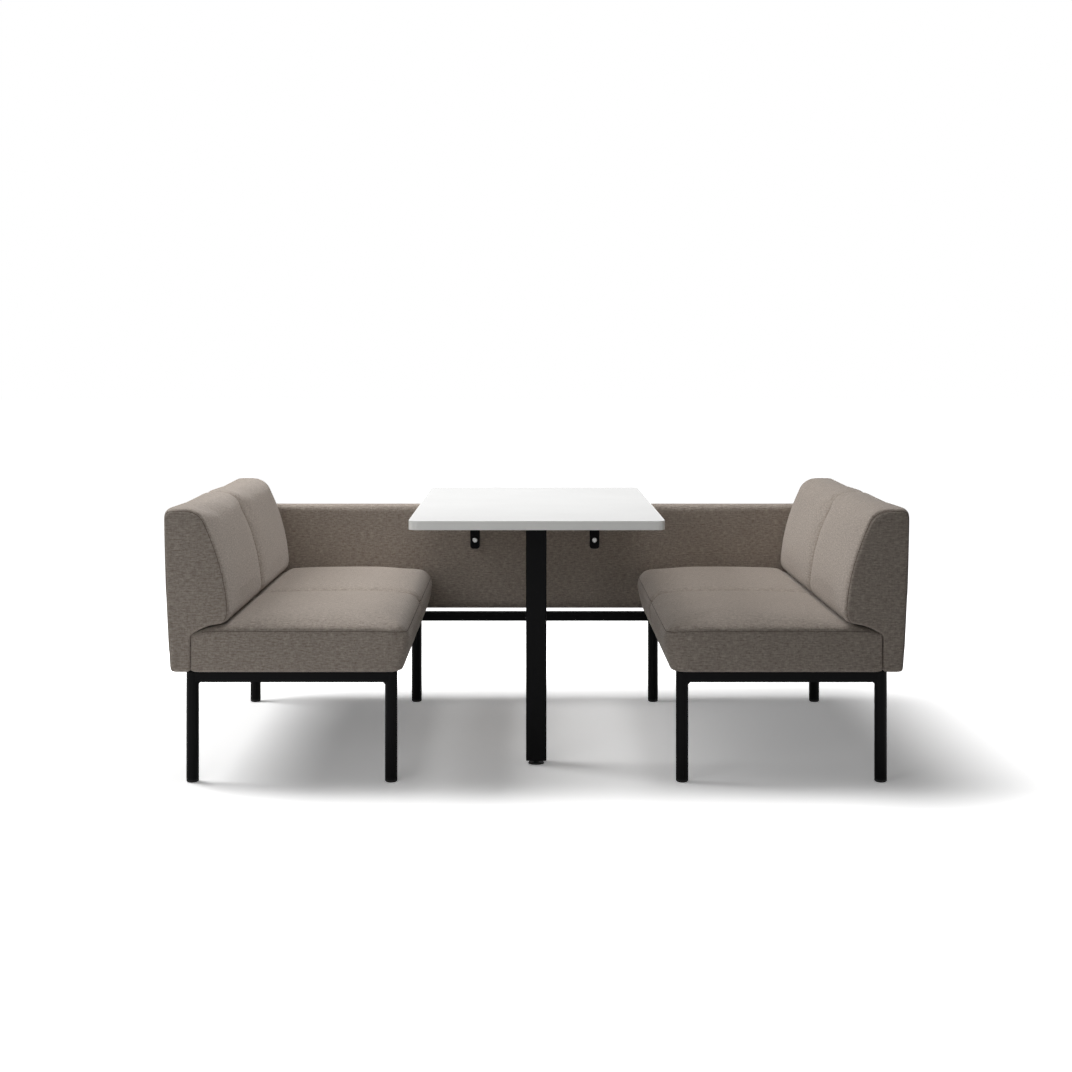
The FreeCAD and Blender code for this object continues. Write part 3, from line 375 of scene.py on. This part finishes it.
def roll_in(piece, face, top):
    """Let a left pad's face and top, given as depths per point, roll in towards the joint of the modules."""
    points = points_of(piece.data)
    away = np.abs(points[:, 1] - JOINT)
    valley = np.clip(1 - away / JOINT_REACH, 0, 1) ** 2
    near = valley + GROOVE_SHARE * np.clip(1 - away / GROOVE_REACH, 0, 1)
    move_points(piece.data, points - np.stack([near * face, 0 * near, near * top], axis=1))


def seam_thread_and_shade_tube(name, piece, line):
    """The thread line of a seam, laid on the pad's cover: a thin tube whose darker thread colour is also
    painted shade for the seam's crease.
    """
    surface = BVHTree.FromObject(piece, bpy.context.evaluated_depsgraph_get())
    spots = [surface.find_nearest(Vector(spot)) for spot in line]
    rows = np.array([spot + normal * SEAM_RISE for spot, normal, *_ in spots])
    for _ in range(SEAM_SMOOTHING):
        rows[1:-1] = (rows[:-2] + 2 * rows[1:-1] + rows[2:]) / 4
    curve = bpy.data.curves.new(name, "CURVE")
    curve.dimensions = "3D"
    curve.bevel_depth = SEAM_RADIUS
    curve.bevel_resolution = 1
    curve.use_fill_caps = True
    spline = curve.splines.new("POLY")
    spline.points.add(len(rows) - 1)
    for point, row in zip(spline.points, rows):
        point.co = (*row, 1)
    seam = bpy.data.objects.new(name, curve)
    scene.collection.objects.link(seam)
    activate(seam)
    bpy.ops.object.convert(target="MESH")
    return seam


def finish_cover(piece, node, lines):
    """Subdivide a swollen pad, press and sew its seams, and return the seam pieces."""
    apply_modifier(piece, "SUBSURF", levels=1, render_levels=1)
    for line in lines:
        press_seam(piece, line)
    return [seam_thread_and_shade_tube("%s_seam_%d" % (node, index), piece, line) for index, line in enumerate(lines)]


def lay_weave(piece):
    """Give a piece UVs in metres, laid flat on the side that each face looks to, for the weave to follow."""
    mesh = piece.data
    facing = np.empty(len(mesh.polygons) * 3)
    mesh.polygons.foreach_get("normal", facing)
    side = np.abs(facing.reshape(-1, 3)).argmax(axis=1)
    counts = np.empty(len(mesh.polygons), int)
    mesh.polygons.foreach_get("loop_total", counts)
    corners = np.empty(len(mesh.loops), int)
    mesh.loops.foreach_get("vertex_index", corners)
    spots = points_of(mesh)[corners]
    across = np.array([[1, 2], [0, 2], [0, 1]])[np.repeat(side, counts)]
    flat = np.take_along_axis(spots, across, axis=1)
    layer = mesh.uv_layers.new(name="weave")
    layer.data.foreach_set("uv", flat.astype(np.float32).ravel())


def seat_seam_line(module):
    """The seam of a seat pad: along the top edge of its end, round the corner and along the nose."""
    end, inwards = (FRONT, 1) if module == "front" else (REAR, -1)
    rows = [(SEAT_SEAM_END, end, SEAT_SEAM)]
    for turn in np.linspace(0, math.pi / 2, 8):
        rows.append((SEAT_NOSE + NOSE_CORNER * (1 - math.sin(turn)),
                     end + inwards * NOSE_CORNER * (1 - math.cos(turn)), SEAT_SEAM))
    rows.append((SEAT_NOSE, JOINT, SEAT_SEAM))
    return close_set(on_bench(rows))


def back_seam_line(module):
    """The seam round the end face of a back pad, from its foot at the rear over the head to the chin."""
    end = FRONT + BACK_END_INSET if module == "front" else REAR - BACK_END_INSET
    lip, head = BACK_LIP + BACK_SEAM_INSET, BACK_TOP - BACK_SEAM_INSET
    heel, rear = BACK_FOOT - BACK_REAR_SEAM_INSET, BACK_REAR - BACK_REAR_SEAM_INSET
    foot = (heel, PAD_BOTTOM + 4 * MM)
    shoulder = (rear, head - 20 * MM)
    brow = (lip + 62 * MM, head - 42 * MM)
    mouth = (lip, CHIN + 44 * MM)
    flat = [foot]
    flat += bow(foot, ((heel + rear) / 2 + 3 * MM, 530 * MM), shoulder)
    flat += bow(shoulder, (rear - 6 * MM, head - 6 * MM), (rear - 20 * MM, head))
    flat += bow((lip + 122 * MM, head), (lip + 84 * MM, head - 12 * MM), brow)
    flat += bow(brow, (lip + 17 * MM, CHIN + 148 * MM), mouth)
    flat += bow(mouth, (lip + 4 * MM, CHIN + 14 * MM), (lip + 14 * MM, CHIN))
    return close_set(on_bench([(out, end, height) for out, height in flat]))


def panel_seam_line(end, low, high):
    """The seam round one end of the rear panel, up its front, over its top and down its rear."""
    corner = [(inwards * MM, down * MM) for inwards, down in PANEL_SEAM_CORNER]
    side = corner[0][0]
    flat = [(low.y + side, low.z + PANEL_SEAM_FOOT)]
    flat += [(low.y + inwards, high.z - down) for inwards, down in corner]
    flat += [(high.y - inwards, high.z - down) for inwards, down in reversed(corner)]
    flat += [(high.y - side, low.z + PANEL_SEAM_FOOT)]
    return close_set([(end, along, height) for along, height in flat])


def plump(piece, module):
    """Raise a seat pad's top: a lip along its open edges, a dome over the middle and more at the panel, a
    rounder edge at the nose, and nothing where the pad goes in under the back."""
    out, along, height = bench_places(piece)
    clear = fade(out, *UNDER_BACK_FADE)
    from_front, from_nose = along - FRONT, out - SEAT_NOSE
    lip = SEAT_LIP * np.maximum(clear, fade(from_front, *LIP_FADE))
    dome = SEAT_DOME * (1 - fade(from_front, *DOME_FRONT_FADE)) * (1 - fade(from_nose, *DOME_NOSE_FADE))
    if module == "rear":
        dome += SEAT_REAR_DOME * fade(REAR - along, *REAR_DOME_FADE)
    nose = np.clip(1 - from_nose / NOSE_ROUND_REACH, 0, 1) ** 2
    corner = np.clip(1 - from_front / NOSE_ROUND_REACH, 0, 1) ** 2 * fade(from_nose, *CORNER_ROUND_FADE)
    fall = NOSE_ROUND * np.maximum(nose, corner)
    top = 1 - fade(height, *SEAT_SIDE_FADE)
    points = points_of(piece.data)
    points[:, 2] += (lip + dome * clear - fall) * top
    move_points(piece.data, points)


def make_seat(module):
    """Seat pad of the left bench."""
    node = "left_%s_seat_pad" % module
    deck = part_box("left_%s_seat_deck" % module)
    low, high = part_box(node)
    plug_low, plug_high = grown(deck, PLUG_OVERLAP)
    plug_low.z = low.z
    piece = foam_block(node, [(plug_low, plug_high)], PAD_VOXEL)
    plump(piece, module)
    out, along, height = bench_places(piece)
    roll_in(piece, SEAT_NOSE_ROLL * fade(out - SEAT_NOSE, *SEAT_NOSE_ROLL_FADE),
            SEAT_TOP_ROLL * (1 - fade(height, *SEAT_TOP_ROLL_FADE)))
    line = seat_seam_line(module)
    holds = [fade(height - low.z, *HEM_HELD),
             fade(BACK_LIP - out, *UNDER_BACK_HELD),
             fade(np.abs(along - JOINT), *SEAT_JOINT_HELD),
             fade(polyline_distance(points_of(piece.data), line), *SEAM_HELD)]
    if module == "rear":
        holds.append(fade(REAR - along, *END_HELD))
    blow_up(piece, np.maximum.reduce(holds), SEAT_SWELL, (low, high), SEAT_ROOM)
    seams = finish_cover(piece, node, [line])
    cut_boxes(piece, [(deck[0] - RECESS_PAST, deck[1])])
    return piece, seams


def make_back(module):
    """Back pad of the left bench."""
    node = "left_%s_back_pad" % module
    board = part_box("left_%s_back_board" % module)
    low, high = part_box(node)
    slot_depth = (SLOT_FACE, SLOT_BOARD_OVERLAP - board[1].x)
    slots = []
    plugs = [grown(board, PLUG_OVERLAP)]
    for along in (low.y + SLOT_INSET, high.y - SLOT_INSET):
        slots.append(box_at(slot_depth, (along - SLOT_HALF, along + SLOT_HALF), SLOT_HEIGHTS))
        plug_low, plug_high = grown(slots[-1], PLUG_OVERLAP)
        plug_low.z = low.z
        plug_high.x = -BACK_FACE
        plugs.append((plug_low, plug_high))
    piece = foam_block(node, plugs, PAD_VOXEL)
    out, along, height = bench_places(piece)
    roll_in(piece, BACK_FACE_ROLL * fade(out, *BACK_FACE_ROLL_FADE),
            BACK_TOP_ROLL * (1 - fade(height, *BACK_TOP_ROLL_FADE)))
    line = back_seam_line(module)
    holds = [fade(height - low.z, *HEM_HELD),
             fade(out - BACK_FACE, *BACK_FRONT_HELD) * fade(height - CHIN, *CHIN_HELD),
             fade(np.abs(along - JOINT), *END_HELD),
             fade(polyline_distance(points_of(piece.data), line), *SEAM_HELD)]
    if module == "rear":
        holds.append(fade(REAR - along, *END_HELD))
    blow_up(piece, np.maximum.reduce(holds), BACK_SWELL, (low, high), BACK_ROOM)
    seams = finish_cover(piece, node, [line])
    if module == "front":
        corner = on_bench([(PUCKER_OUT, FRONT, PUCKER_HEIGHT)])
        press_seam(piece, line[polyline_distance(line, corner) < PUCKER_REACH], PUCKER_DEPTH)
    cut_boxes(piece, [board, *slots])
    return piece, seams


def make_panel():
    """The rear panel's pad over the whole width."""
    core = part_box("panel_core")
    low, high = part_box("panel_pad")
    piece = foam_block("panel_pad", [grown(core, PLUG_OVERLAP)], PANEL_VOXEL)
    lines = [panel_seam_line(end, low, high) for end in (low.x, high.x)]
    points = points_of(piece.data)
    holds = [fade(polyline_distance(points, line), *SEAM_HELD) for line in lines]
    holds.append(fade(points[:, 2] - low.z, *HEM_HELD))
    blow_up(piece, np.maximum.reduce(holds), PANEL_SWELL, (low, high), PANEL_ROOM)
    seams = finish_cover(piece, "panel_pad", lines)
    cut_boxes(piece, [core])
    return piece, seams


# Materials

def srgb(code):
    """Linear colour of an sRGB hex value."""
    parts = [int(code[place:place + 2], 16) / 255 for place in (1, 3, 5)]
    return (*(part / 12.92 if part <= 0.04045 else ((part + 0.055) / 1.055) ** 2.4 for part in parts), 1)


def add(tree, kind, inputs=None, stops=(), **settings):
    """Add a node: a socket given for an input is linked, anything else is set. Stops are the places and
    colours of a ramp."""
    node = tree.nodes.new("ShaderNode" + kind)
    for name, value in settings.items():
        setattr(node, name, value)
    for key, value in (inputs or {}).items():
        if isinstance(value, bpy.types.NodeSocket):
            tree.links.new(value, node.inputs[key])
        else:
            node.inputs[key].default_value = value
    for _ in stops[2:]:
        node.color_ramp.elements.new(0.5)
    for index, (place, colour) in enumerate(stops):
        node.color_ramp.elements[index].position = place
        node.color_ramp.elements[index].color = srgb(colour)
    return node


def new_material(name):
    """A material with an empty node tree."""
    material = bpy.data.materials.new(name)
    material.use_nodes = True
    material.node_tree.nodes.clear()
    return material, material.node_tree


def finished(material, inputs):
    """Close a material with a shader that takes these inputs."""
    shader = add(material.node_tree, "BsdfPrincipled", inputs)
    add(material.node_tree, "OutputMaterial", {"Surface": shader.outputs[0]})
    return material


def melange_cloth():
    """Woven wool-mix upholstery cloth in taupe: light and dark fibres spun together, so it is flecked and
    slubby close by and even from afar, matt, with a pale bloom where it is seen at a low angle."""
    material, tree = new_material("melange_wool_cloth")
    thread = 2.6 * MM     # real threads are near 1 mm apart, drawn coarser so that they show
    slub_length, slub_width = 16 * MM, 1.5 * thread
    fleck_size, mix_size, cloud_size = 4 * MM, 7 * MM, 120 * MM
    uv = add(tree, "UVMap", uv_map="weave").outputs[0]
    bands = {"Vector": uv, "Scale": math.pi / 10 / thread, "Distortion": 0.6, "Detail": 1, "Detail Scale": 2}
    warp = add(tree, "TexWave", bands, bands_direction="X").outputs[1]
    weft = add(tree, "TexWave", bands, bands_direction="Y").outputs[1]
    over = add(tree, "TexChecker", {"Vector": uv, "Color1": (1, 1, 1, 1), "Color2": (0, 0, 0, 1),
                                    "Scale": 1 / thread}).outputs[1]
    cross = add(tree, "Mix", {0: over, 2: warp, 3: weft})
    along = add(tree, "VectorMath", {0: uv, 1: (1 / slub_length, 1 / slub_width, 1)}, operation="MULTIPLY")
    across = add(tree, "VectorMath", {0: uv, 1: (1 / slub_width, 1 / slub_length, 1)}, operation="MULTIPLY")
    slub_along = add(tree, "TexNoise", {"Vector": along.outputs[0], "Scale": 1, "Detail": 2})
    slub_across = add(tree, "TexNoise", {"Vector": across.outputs[0], "Scale": 1, "Detail": 2})
    fleck = add(tree, "TexNoise", {"Vector": uv, "Scale": 1 / fleck_size, "Detail": 3, "Roughness": 0.7})
    mixed = add(tree, "TexNoise", {"Vector": uv, "Scale": 1 / mix_size, "Detail": 2, "Roughness": 0.6})
    clouds = add(tree, "TexNoise", {"Vector": uv, "Scale": 1 / cloud_size, "Detail": 2})
    mottle = 0
    for part, weight in ((slub_along, 1.5), (slub_across, 0.5), (fleck, 1), (mixed, 0.8), (clouds, 0.2),
                         (cross, 0.2)):
        mottle = add(tree, "Math", {0: part.outputs[0], 1: weight, 2: mottle},
                     operation="MULTIPLY_ADD").outputs[0]
    mottle = add(tree, "MapRange", {0: mottle, 1: 1.3, 2: 2.9}).outputs[0]
    colour = add(tree, "ValToRGB", {0: mottle},
                 [(0.0, "#756b63"), (0.5, "#a59a90"), (1.0, "#d0c6bc")]).outputs[0]
    relief = add(tree, "Math", {0: cross.outputs[0], 1: fleck.outputs[0]}, operation="ADD").outputs[0]
    bump = add(tree, "Bump", {"Height": relief, "Strength": 0.5, "Distance": 0.6 * MM}).outputs[0]
    return finished(material, {"Base Color": colour, "Normal": bump, "Roughness": 0.95,
                               "Specular IOR Level": 0.1, "Sheen Weight": 0.5, "Sheen Roughness": 0.45,
                               "Sheen Tint": srgb("#f1ebe6")})


def seam_thread_painted_shade():
    """Twisted polyester sewing thread, sunk between two edges of the cloth. Its darker taupe is painted
    shade: it draws the shade of the seam's crease, which the pressed groove is too coarse to show.
    """
    material, tree = new_material("polyester_seam_thread")
    place = add(tree, "TexCoord").outputs["Object"]
    stitch = add(tree, "TexNoise", {"Vector": place, "Scale": 1 / (4 * MM), "Detail": 1}).outputs[0]
    # darker than the cloth: painted shade of the seam's crease
    colour = add(tree, "ValToRGB", {0: stitch}, [(0.3, "#685f58"), (0.7, "#7f756d")]).outputs[0]
    return finished(material, {"Base Color": colour, "Roughness": 0.9, "Specular IOR Level": 0.1})


def powder_coat():
    """Matt black powder coat on steel: near black, with the fine orange peel that the powder melts into."""
    material, tree = new_material("black_powder_coat")
    place = add(tree, "TexCoord").outputs["Object"]
    peel = add(tree, "TexNoise", {"Vector": place, "Scale": 1 / (2.5 * MM), "Detail": 2}).outputs[0]
    drift = add(tree, "TexNoise", {"Vector": place, "Scale": 1 / (90 * MM), "Detail": 3}).outputs[0]
    colour = add(tree, "ValToRGB", {0: drift}, [(0.3, "#070708"), (0.7, "#0c0c0d")]).outputs[0]
    rough = add(tree, "MapRange", {0: peel, 1: 0.3, 2: 0.7, 3: 0.42, 4: 0.56}).outputs[0]
    bump = add(tree, "Bump", {"Height": peel, "Strength": 0.12, "Distance": 0.2 * MM}).outputs[0]
    return finished(material, {"Base Color": colour, "Roughness": rough, "Normal": bump,
                               "Specular IOR Level": 0.06})


def laminate_with_painted_shade():
    """White high-pressure laminated sheet: even, neutral, with a fine pearl texture pressed in. Its colour is
    greyer than white as painted shade, which holds the brightly lit table top back from white.
    """
    material, tree = new_material("white_pressed_laminate_painted_shade")
    place = add(tree, "TexCoord").outputs["Object"]
    pearl = add(tree, "TexNoise", {"Vector": place, "Scale": 1 / (2 * MM), "Detail": 2}).outputs[0]
    drift = add(tree, "TexNoise", {"Vector": place, "Scale": 1 / (250 * MM), "Detail": 2}).outputs[0]
    # greyer than the white sheet is: painted shade for the strong light on the table top
    colour = add(tree, "ValToRGB", {0: drift}, [(0.3, "#d9d9d8"), (0.7, "#dddddc")]).outputs[0]
    rough = add(tree, "MapRange", {0: pearl, 1: 0.3, 2: 0.7, 3: 0.38, 4: 0.5}).outputs[0]
    bump = add(tree, "Bump", {"Height": pearl, "Strength": 0.06, "Distance": 0.1 * MM}).outputs[0]
    return finished(material, {"Base Color": colour, "Roughness": rough, "Normal": bump})


def edge_band():
    """Extruded ABS edge band in a pale grey-white: a gloss skin with faint lines along its length."""
    material, tree = new_material("pale_abs_edge_band")
    place = add(tree, "TexCoord").outputs["Object"]
    lines = add(tree, "TexWave", {"Vector": place, "Scale": math.pi / 10 / (4 * MM), "Distortion": 0.3},
                bands_direction="Z").outputs[1]
    colour = add(tree, "ValToRGB", {0: lines}, [(0.0, "#f3f3ef"), (1.0, "#f7f7f3")]).outputs[0]
    return finished(material, {"Base Color": colour, "Roughness": 0.35, "Specular IOR Level": 0.8,
                               "Coat Weight": 0.6, "Coat Roughness": 0.15})


def plywood():
    """Birch plywood, sanded and raw: pale veneer grain on its faces, thin dark glue lines on its edges."""
    material, tree = new_material("birch_plywood")
    place = add(tree, "TexCoord").outputs["Object"]
    stretched = add(tree, "VectorMath", {0: place, 1: (1 / (120 * MM), 1 / (9 * MM), 1 / (1.5 * MM))},
                    operation="MULTIPLY").outputs[0]
    grain = add(tree, "TexNoise", {"Vector": stretched, "Scale": 1, "Detail": 4, "Roughness": 0.6}).outputs[0]
    colour = add(tree, "ValToRGB", {0: grain},
                 [(0.3, "#b08a5c"), (0.5, "#cfae80"), (0.7, "#dcc199")]).outputs[0]
    bump = add(tree, "Bump", {"Height": grain, "Strength": 0.15, "Distance": 0.2 * MM}).outputs[0]
    return finished(material, {"Base Color": colour, "Normal": bump, "Roughness": 0.7})


def lining():
    """Non-woven black lining cloth that closes a cushion's underside: pressed fibres, quite matt."""
    material, tree = new_material("black_nonwoven_lining")
    place = add(tree, "TexCoord").outputs["Object"]
    fibres = add(tree, "TexNoise", {"Vector": place, "Scale": 1 / (3 * MM), "Detail": 4,
                                    "Roughness": 0.7}).outputs[0]
    colour = add(tree, "ValToRGB", {0: fibres}, [(0.3, "#0d0d0d"), (0.7, "#1c1c1c")]).outputs[0]
    bump = add(tree, "Bump", {"Height": fibres, "Strength": 0.3, "Distance": 0.2 * MM}).outputs[0]
    return finished(material, {"Base Color": colour, "Normal": bump, "Roughness": 0.95,
                               "Specular IOR Level": 0.1})


def chipboard():
    """Pressed chipboard: small wood chips of several browns in resin."""
    material, tree = new_material("pressed_chipboard")
    place = add(tree, "TexCoord").outputs["Object"]
    chips = add(tree, "TexVoronoi", {"Vector": place, "Scale": 1 / (6 * MM)}).outputs["Color"]
    tone = add(tree, "SeparateColor", {0: chips}).outputs[0]
    colour = add(tree, "ValToRGB", {0: tone}, [(0.0, "#8d6c45"), (1.0, "#c9a878")]).outputs[0]
    return finished(material, {"Base Color": colour, "Roughness": 0.8})


def zinc():
    """Bright zinc plate on steel fasteners: silvery, a little cloudy."""
    material, tree = new_material("bright_zinc_plate")
    place = add(tree, "TexCoord").outputs["Object"]
    cloudy = add(tree, "TexNoise", {"Vector": place, "Scale": 1 / (5 * MM), "Detail": 3}).outputs[0]
    colour = add(tree, "ValToRGB", {0: cloudy}, [(0.3, "#8e8f8d"), (0.7, "#a6a7a5")]).outputs[0]
    rough = add(tree, "MapRange", {0: cloudy, 1: 0.3, 2: 0.7, 3: 0.25, 4: 0.42}).outputs[0]
    return finished(material, {"Base Color": colour, "Roughness": rough, "Metallic": 1})


def moulded_plastic():
    """Injection-moulded black polyamide with a fine spark-eroded grain."""
    material, tree = new_material("black_moulded_polyamide")
    place = add(tree, "TexCoord").outputs["Object"]
    grain = add(tree, "TexNoise", {"Vector": place, "Scale": 1 / (1.2 * MM), "Detail": 2}).outputs[0]
    colour = add(tree, "ValToRGB", {0: grain}, [(0.3, "#101010"), (0.7, "#191919")]).outputs[0]
    bump = add(tree, "Bump", {"Height": grain, "Strength": 0.2, "Distance": 0.1 * MM}).outputs[0]
    return finished(material, {"Base Color": colour, "Normal": bump, "Roughness": 0.6,
                               "Specular IOR Level": 0.25})


FINISHES = {
    "melange_fabric": melange_cloth(),
    "plywood": plywood(),
    "chipboard": chipboard(),
    # the table's laminate is greyed as painted shade for the light on its top
    "white_laminate": laminate_with_painted_shade(),
    "pale_edge_band": edge_band(),
    "black_plastic": moulded_plastic(),
    "zinc_steel": zinc(),
    "black_steel": powder_coat(),
}
# seam thread, darker than the cloth as painted shade of the seam's crease
THREAD_AND_PAINTED_SHADE = seam_thread_painted_shade()
LINING = lining()

for node, solid in frame["nodes"].items():
    lined = node.endswith("seat_deck")
    solid.data.materials[0] = LINING if lined else FINISHES[solid.data.materials[0].name]


# Cushions

def dress(piece, node):
    """A finished pad cover takes its CAD solid's place."""
    lay_weave(piece)
    piece.data.materials.append(FINISHES["melange_fabric"])
    activate(piece)
    bpy.ops.object.shade_smooth_by_angle(angle=COVER_CREASE)
    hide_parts(node)
    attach(piece, "booth")


def dress_seam(seam):
    """A finished seam takes the darker thread colour, painted shade for its crease, and goes with the booth.
    """
    seam.data.materials.append(THREAD_AND_PAINTED_SHADE)
    activate(seam)
    bpy.ops.object.shade_smooth()
    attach(seam, "booth")


for module in ("front", "rear"):
    for kind, make in (("seat", make_seat), ("back", make_back)):
        cover, seams = make(module)
        twin = mirrored(cover, "right_%s_%s_pad_cover" % (module, kind))
        for seam in seams:
            dress_seam(mirrored(seam, seam.name.replace("left", "right")))
            dress_seam(seam)
        dress(cover, "left_%s_%s_pad" % (module, kind))
        dress(twin, "right_%s_%s_pad" % (module, kind))
cover, seams = make_panel()
for seam in seams:
    dress_seam(seam)
dress(cover, "panel_pad")


# Table brackets

def make_bracket(node):
    """A bracket whose upright reaches further down and ends in two rounded corners, as cut from flat bar."""
    piece = solid_copy(node, node + "_plate", [])
    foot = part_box(node)[0].z + BRACKET_FOOT_BAND
    bpy.ops.object.mode_set(mode="EDIT")
    bpy.ops.mesh.select_mode(type="EDGE")
    bpy.ops.mesh.select_all(action="SELECT")
    bpy.ops.mesh.dissolve_limited(angle_limit=math.radians(1))
    bpy.ops.mesh.select_all(action="DESELECT")
    bpy.ops.object.mode_set(mode="OBJECT")
    corners = []
    for edge in piece.data.edges:
        start, stop = (piece.data.vertices[index].co for index in edge.vertices)
        if max(start.z, stop.z) < foot:
            edge.select = True
            if abs(start.y - stop.y) > BRACKET_EDGE_LENGTH and abs(start.x - stop.x) < BRACKET_EDGE_LEAN:
                corners.append(edge.index)
    bpy.ops.object.mode_set(mode="EDIT")
    bpy.ops.transform.translate(value=(0, 0, -BRACKET_TAIL))
    bpy.ops.mesh.select_all(action="DESELECT")
    bpy.ops.object.mode_set(mode="OBJECT")
    for index in corners:
        piece.data.edges[index].select = True
    bpy.ops.object.mode_set(mode="EDIT")
    bpy.ops.mesh.bevel(offset=BRACKET_CORNER, segments=BRACKET_CORNER_STEPS, affect="EDGES")
    bpy.ops.mesh.select_mode(type="VERT")
    bpy.ops.object.mode_set(mode="OBJECT")
    bpy.ops.object.shade_smooth_by_angle(angle=BRACKET_CREASE)
    piece.data.materials.append(FINISHES["black_steel"])
    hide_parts(node)
    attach(piece, "booth")


make_bracket("left_table_bracket")
make_bracket("right_table_bracket")


# Floor, light and camera

FLOOR_SIDE = 80
FLOOR_DROP = 0.3 * MM
FLOOR_PAINT = "#eaeaea"
FLOOR_SEEN = (1.35, 1.35, 1.35, 1)    # over white for the camera, so that only the shadow shows
FOOTPRINT = (1.0, 0.5, 0)
GLOW_REACH = 0.8
GLOW_UNDER, GLOW_AROUND = 0.2, 1.0
WHITE = (1, 1, 1, 1)
AMBIENT = 0.07


def seen_rays(tree):
    """1 for a ray that reaches the camera straight, by a mirror or through glass."""
    rays = add(tree, "LightPath").outputs
    bent = add(tree, "Math", {0: rays["Is Glossy Ray"], 1: rays["Is Transmission Ray"]}, operation="MAXIMUM")
    return add(tree, "Math", {0: rays["Is Camera Ray"], 1: bent.outputs[0]}, operation="MAXIMUM").outputs[0]


def studio_floor():
    """A plain pale floor that looks white around the object and keeps its soft shadow."""
    bpy.ops.object.select_all(action="DESELECT")
    bpy.ops.mesh.primitive_plane_add(size=FLOOR_SIDE, location=(0, 0, -FLOOR_DROP))
    floor = bpy.context.object
    floor.name = "studio_floor"
    material, tree = new_material("pale_studio_floor")
    place = add(tree, "TexCoord").outputs["Object"]
    place = add(tree, "VectorMath", {0: place}, operation="ABSOLUTE").outputs[0]
    beyond = add(tree, "VectorMath", {0: place, 1: FOOTPRINT}, operation="SUBTRACT").outputs[0]
    beyond = add(tree, "VectorMath", {0: beyond, 1: (0, 0, 0)}, operation="MAXIMUM").outputs[0]
    away = add(tree, "VectorMath", {0: beyond}, operation="LENGTH").outputs["Value"]
    glow = add(tree, "MapRange", {0: away, 1: 0, 2: GLOW_REACH, 3: GLOW_UNDER, 4: GLOW_AROUND},
               interpolation_type="SMOOTHSTEP").outputs[0]
    seen = seen_rays(tree)
    strength = add(tree, "Math", {0: glow, 1: seen}, operation="MULTIPLY").outputs[0]
    white = add(tree, "Emission", {"Strength": strength}).outputs[0]
    pale = add(tree, "Mix", {0: seen, 6: srgb(FLOOR_PAINT), 7: FLOOR_SEEN}, data_type="RGBA").outputs[2]
    paint = add(tree, "BsdfDiffuse", {"Color": pale}).outputs[0]
    both = add(tree, "AddShader", {0: paint, 1: white}).outputs[0]
    add(tree, "OutputMaterial", {"Surface": both})
    floor.data.materials.append(material)


def studio_world():
    """Dim even light from all round, and a white background."""
    world = bpy.data.worlds.new("studio")
    world.use_nodes = True
    tree = world.node_tree
    tree.nodes.clear()
    dim = add(tree, "Background", {"Color": WHITE, "Strength": AMBIENT}).outputs[0]
    white = add(tree, "Background", {"Color": WHITE, "Strength": 1}).outputs[0]
    both = add(tree, "MixShader", {0: seen_rays(tree), 1: dim, 2: white}).outputs[0]
    add(tree, "OutputWorld", {"Surface": both})
    scene.world = world


def softbox(name, spot, target, side, power):
    """A soft square lamp that points at a target."""
    lamp = bpy.data.lights.new(name, "AREA")
    lamp.shape = "SQUARE"
    lamp.size = side
    lamp.energy = power
    item = bpy.data.objects.new(name, lamp)
    item.location = spot
    item.rotation_euler = (Vector(target) - Vector(spot)).to_track_quat("-Z", "Y").to_euler()
    scene.collection.objects.link(item)


# The photograph's frame in pixels: its side, focal length, and where the level line of sight meets it
PHOTO_SIDE = 1072
FOCAL_PIXELS = 1691
SIGHT_COLUMN = 527
SIGHT_ROW = 355.8
SENSOR_MM = 36
CAMERA_SPOT = (-0.027, -5.327, 1.194)


def photo_camera():
    """Level camera in front of the booth, framed by lens shift so that uprights stay upright."""
    data = bpy.data.cameras.new("photo_camera")
    data.sensor_width = SENSOR_MM
    data.lens = SENSOR_MM * FOCAL_PIXELS / PHOTO_SIDE
    data.shift_x = (PHOTO_SIDE / 2 - SIGHT_COLUMN) / PHOTO_SIDE
    data.shift_y = (SIGHT_ROW - PHOTO_SIDE / 2) / PHOTO_SIDE
    camera = bpy.data.objects.new("photo_camera", data)
    camera.location = CAMERA_SPOT
    camera.rotation_euler = (math.pi / 2, 0, 0)
    scene.collection.objects.link(camera)
    scene.camera = camera


studio_floor()
studio_world()
softbox("top_softbox", spot=(0.1, 0.4, 3.0), target=(0, 0.1, 0.5), side=2.0, power=48)
softbox("left_softbox", spot=(-2.5, 0.4, 2.5), target=(0, 0, 0.5), side=1.6, power=62)
softbox("front_softbox", spot=(-1.1, -2.5, 1.0), target=(-0.3, -0.6, 0.4), side=1.0, power=5.5)
photo_camera()
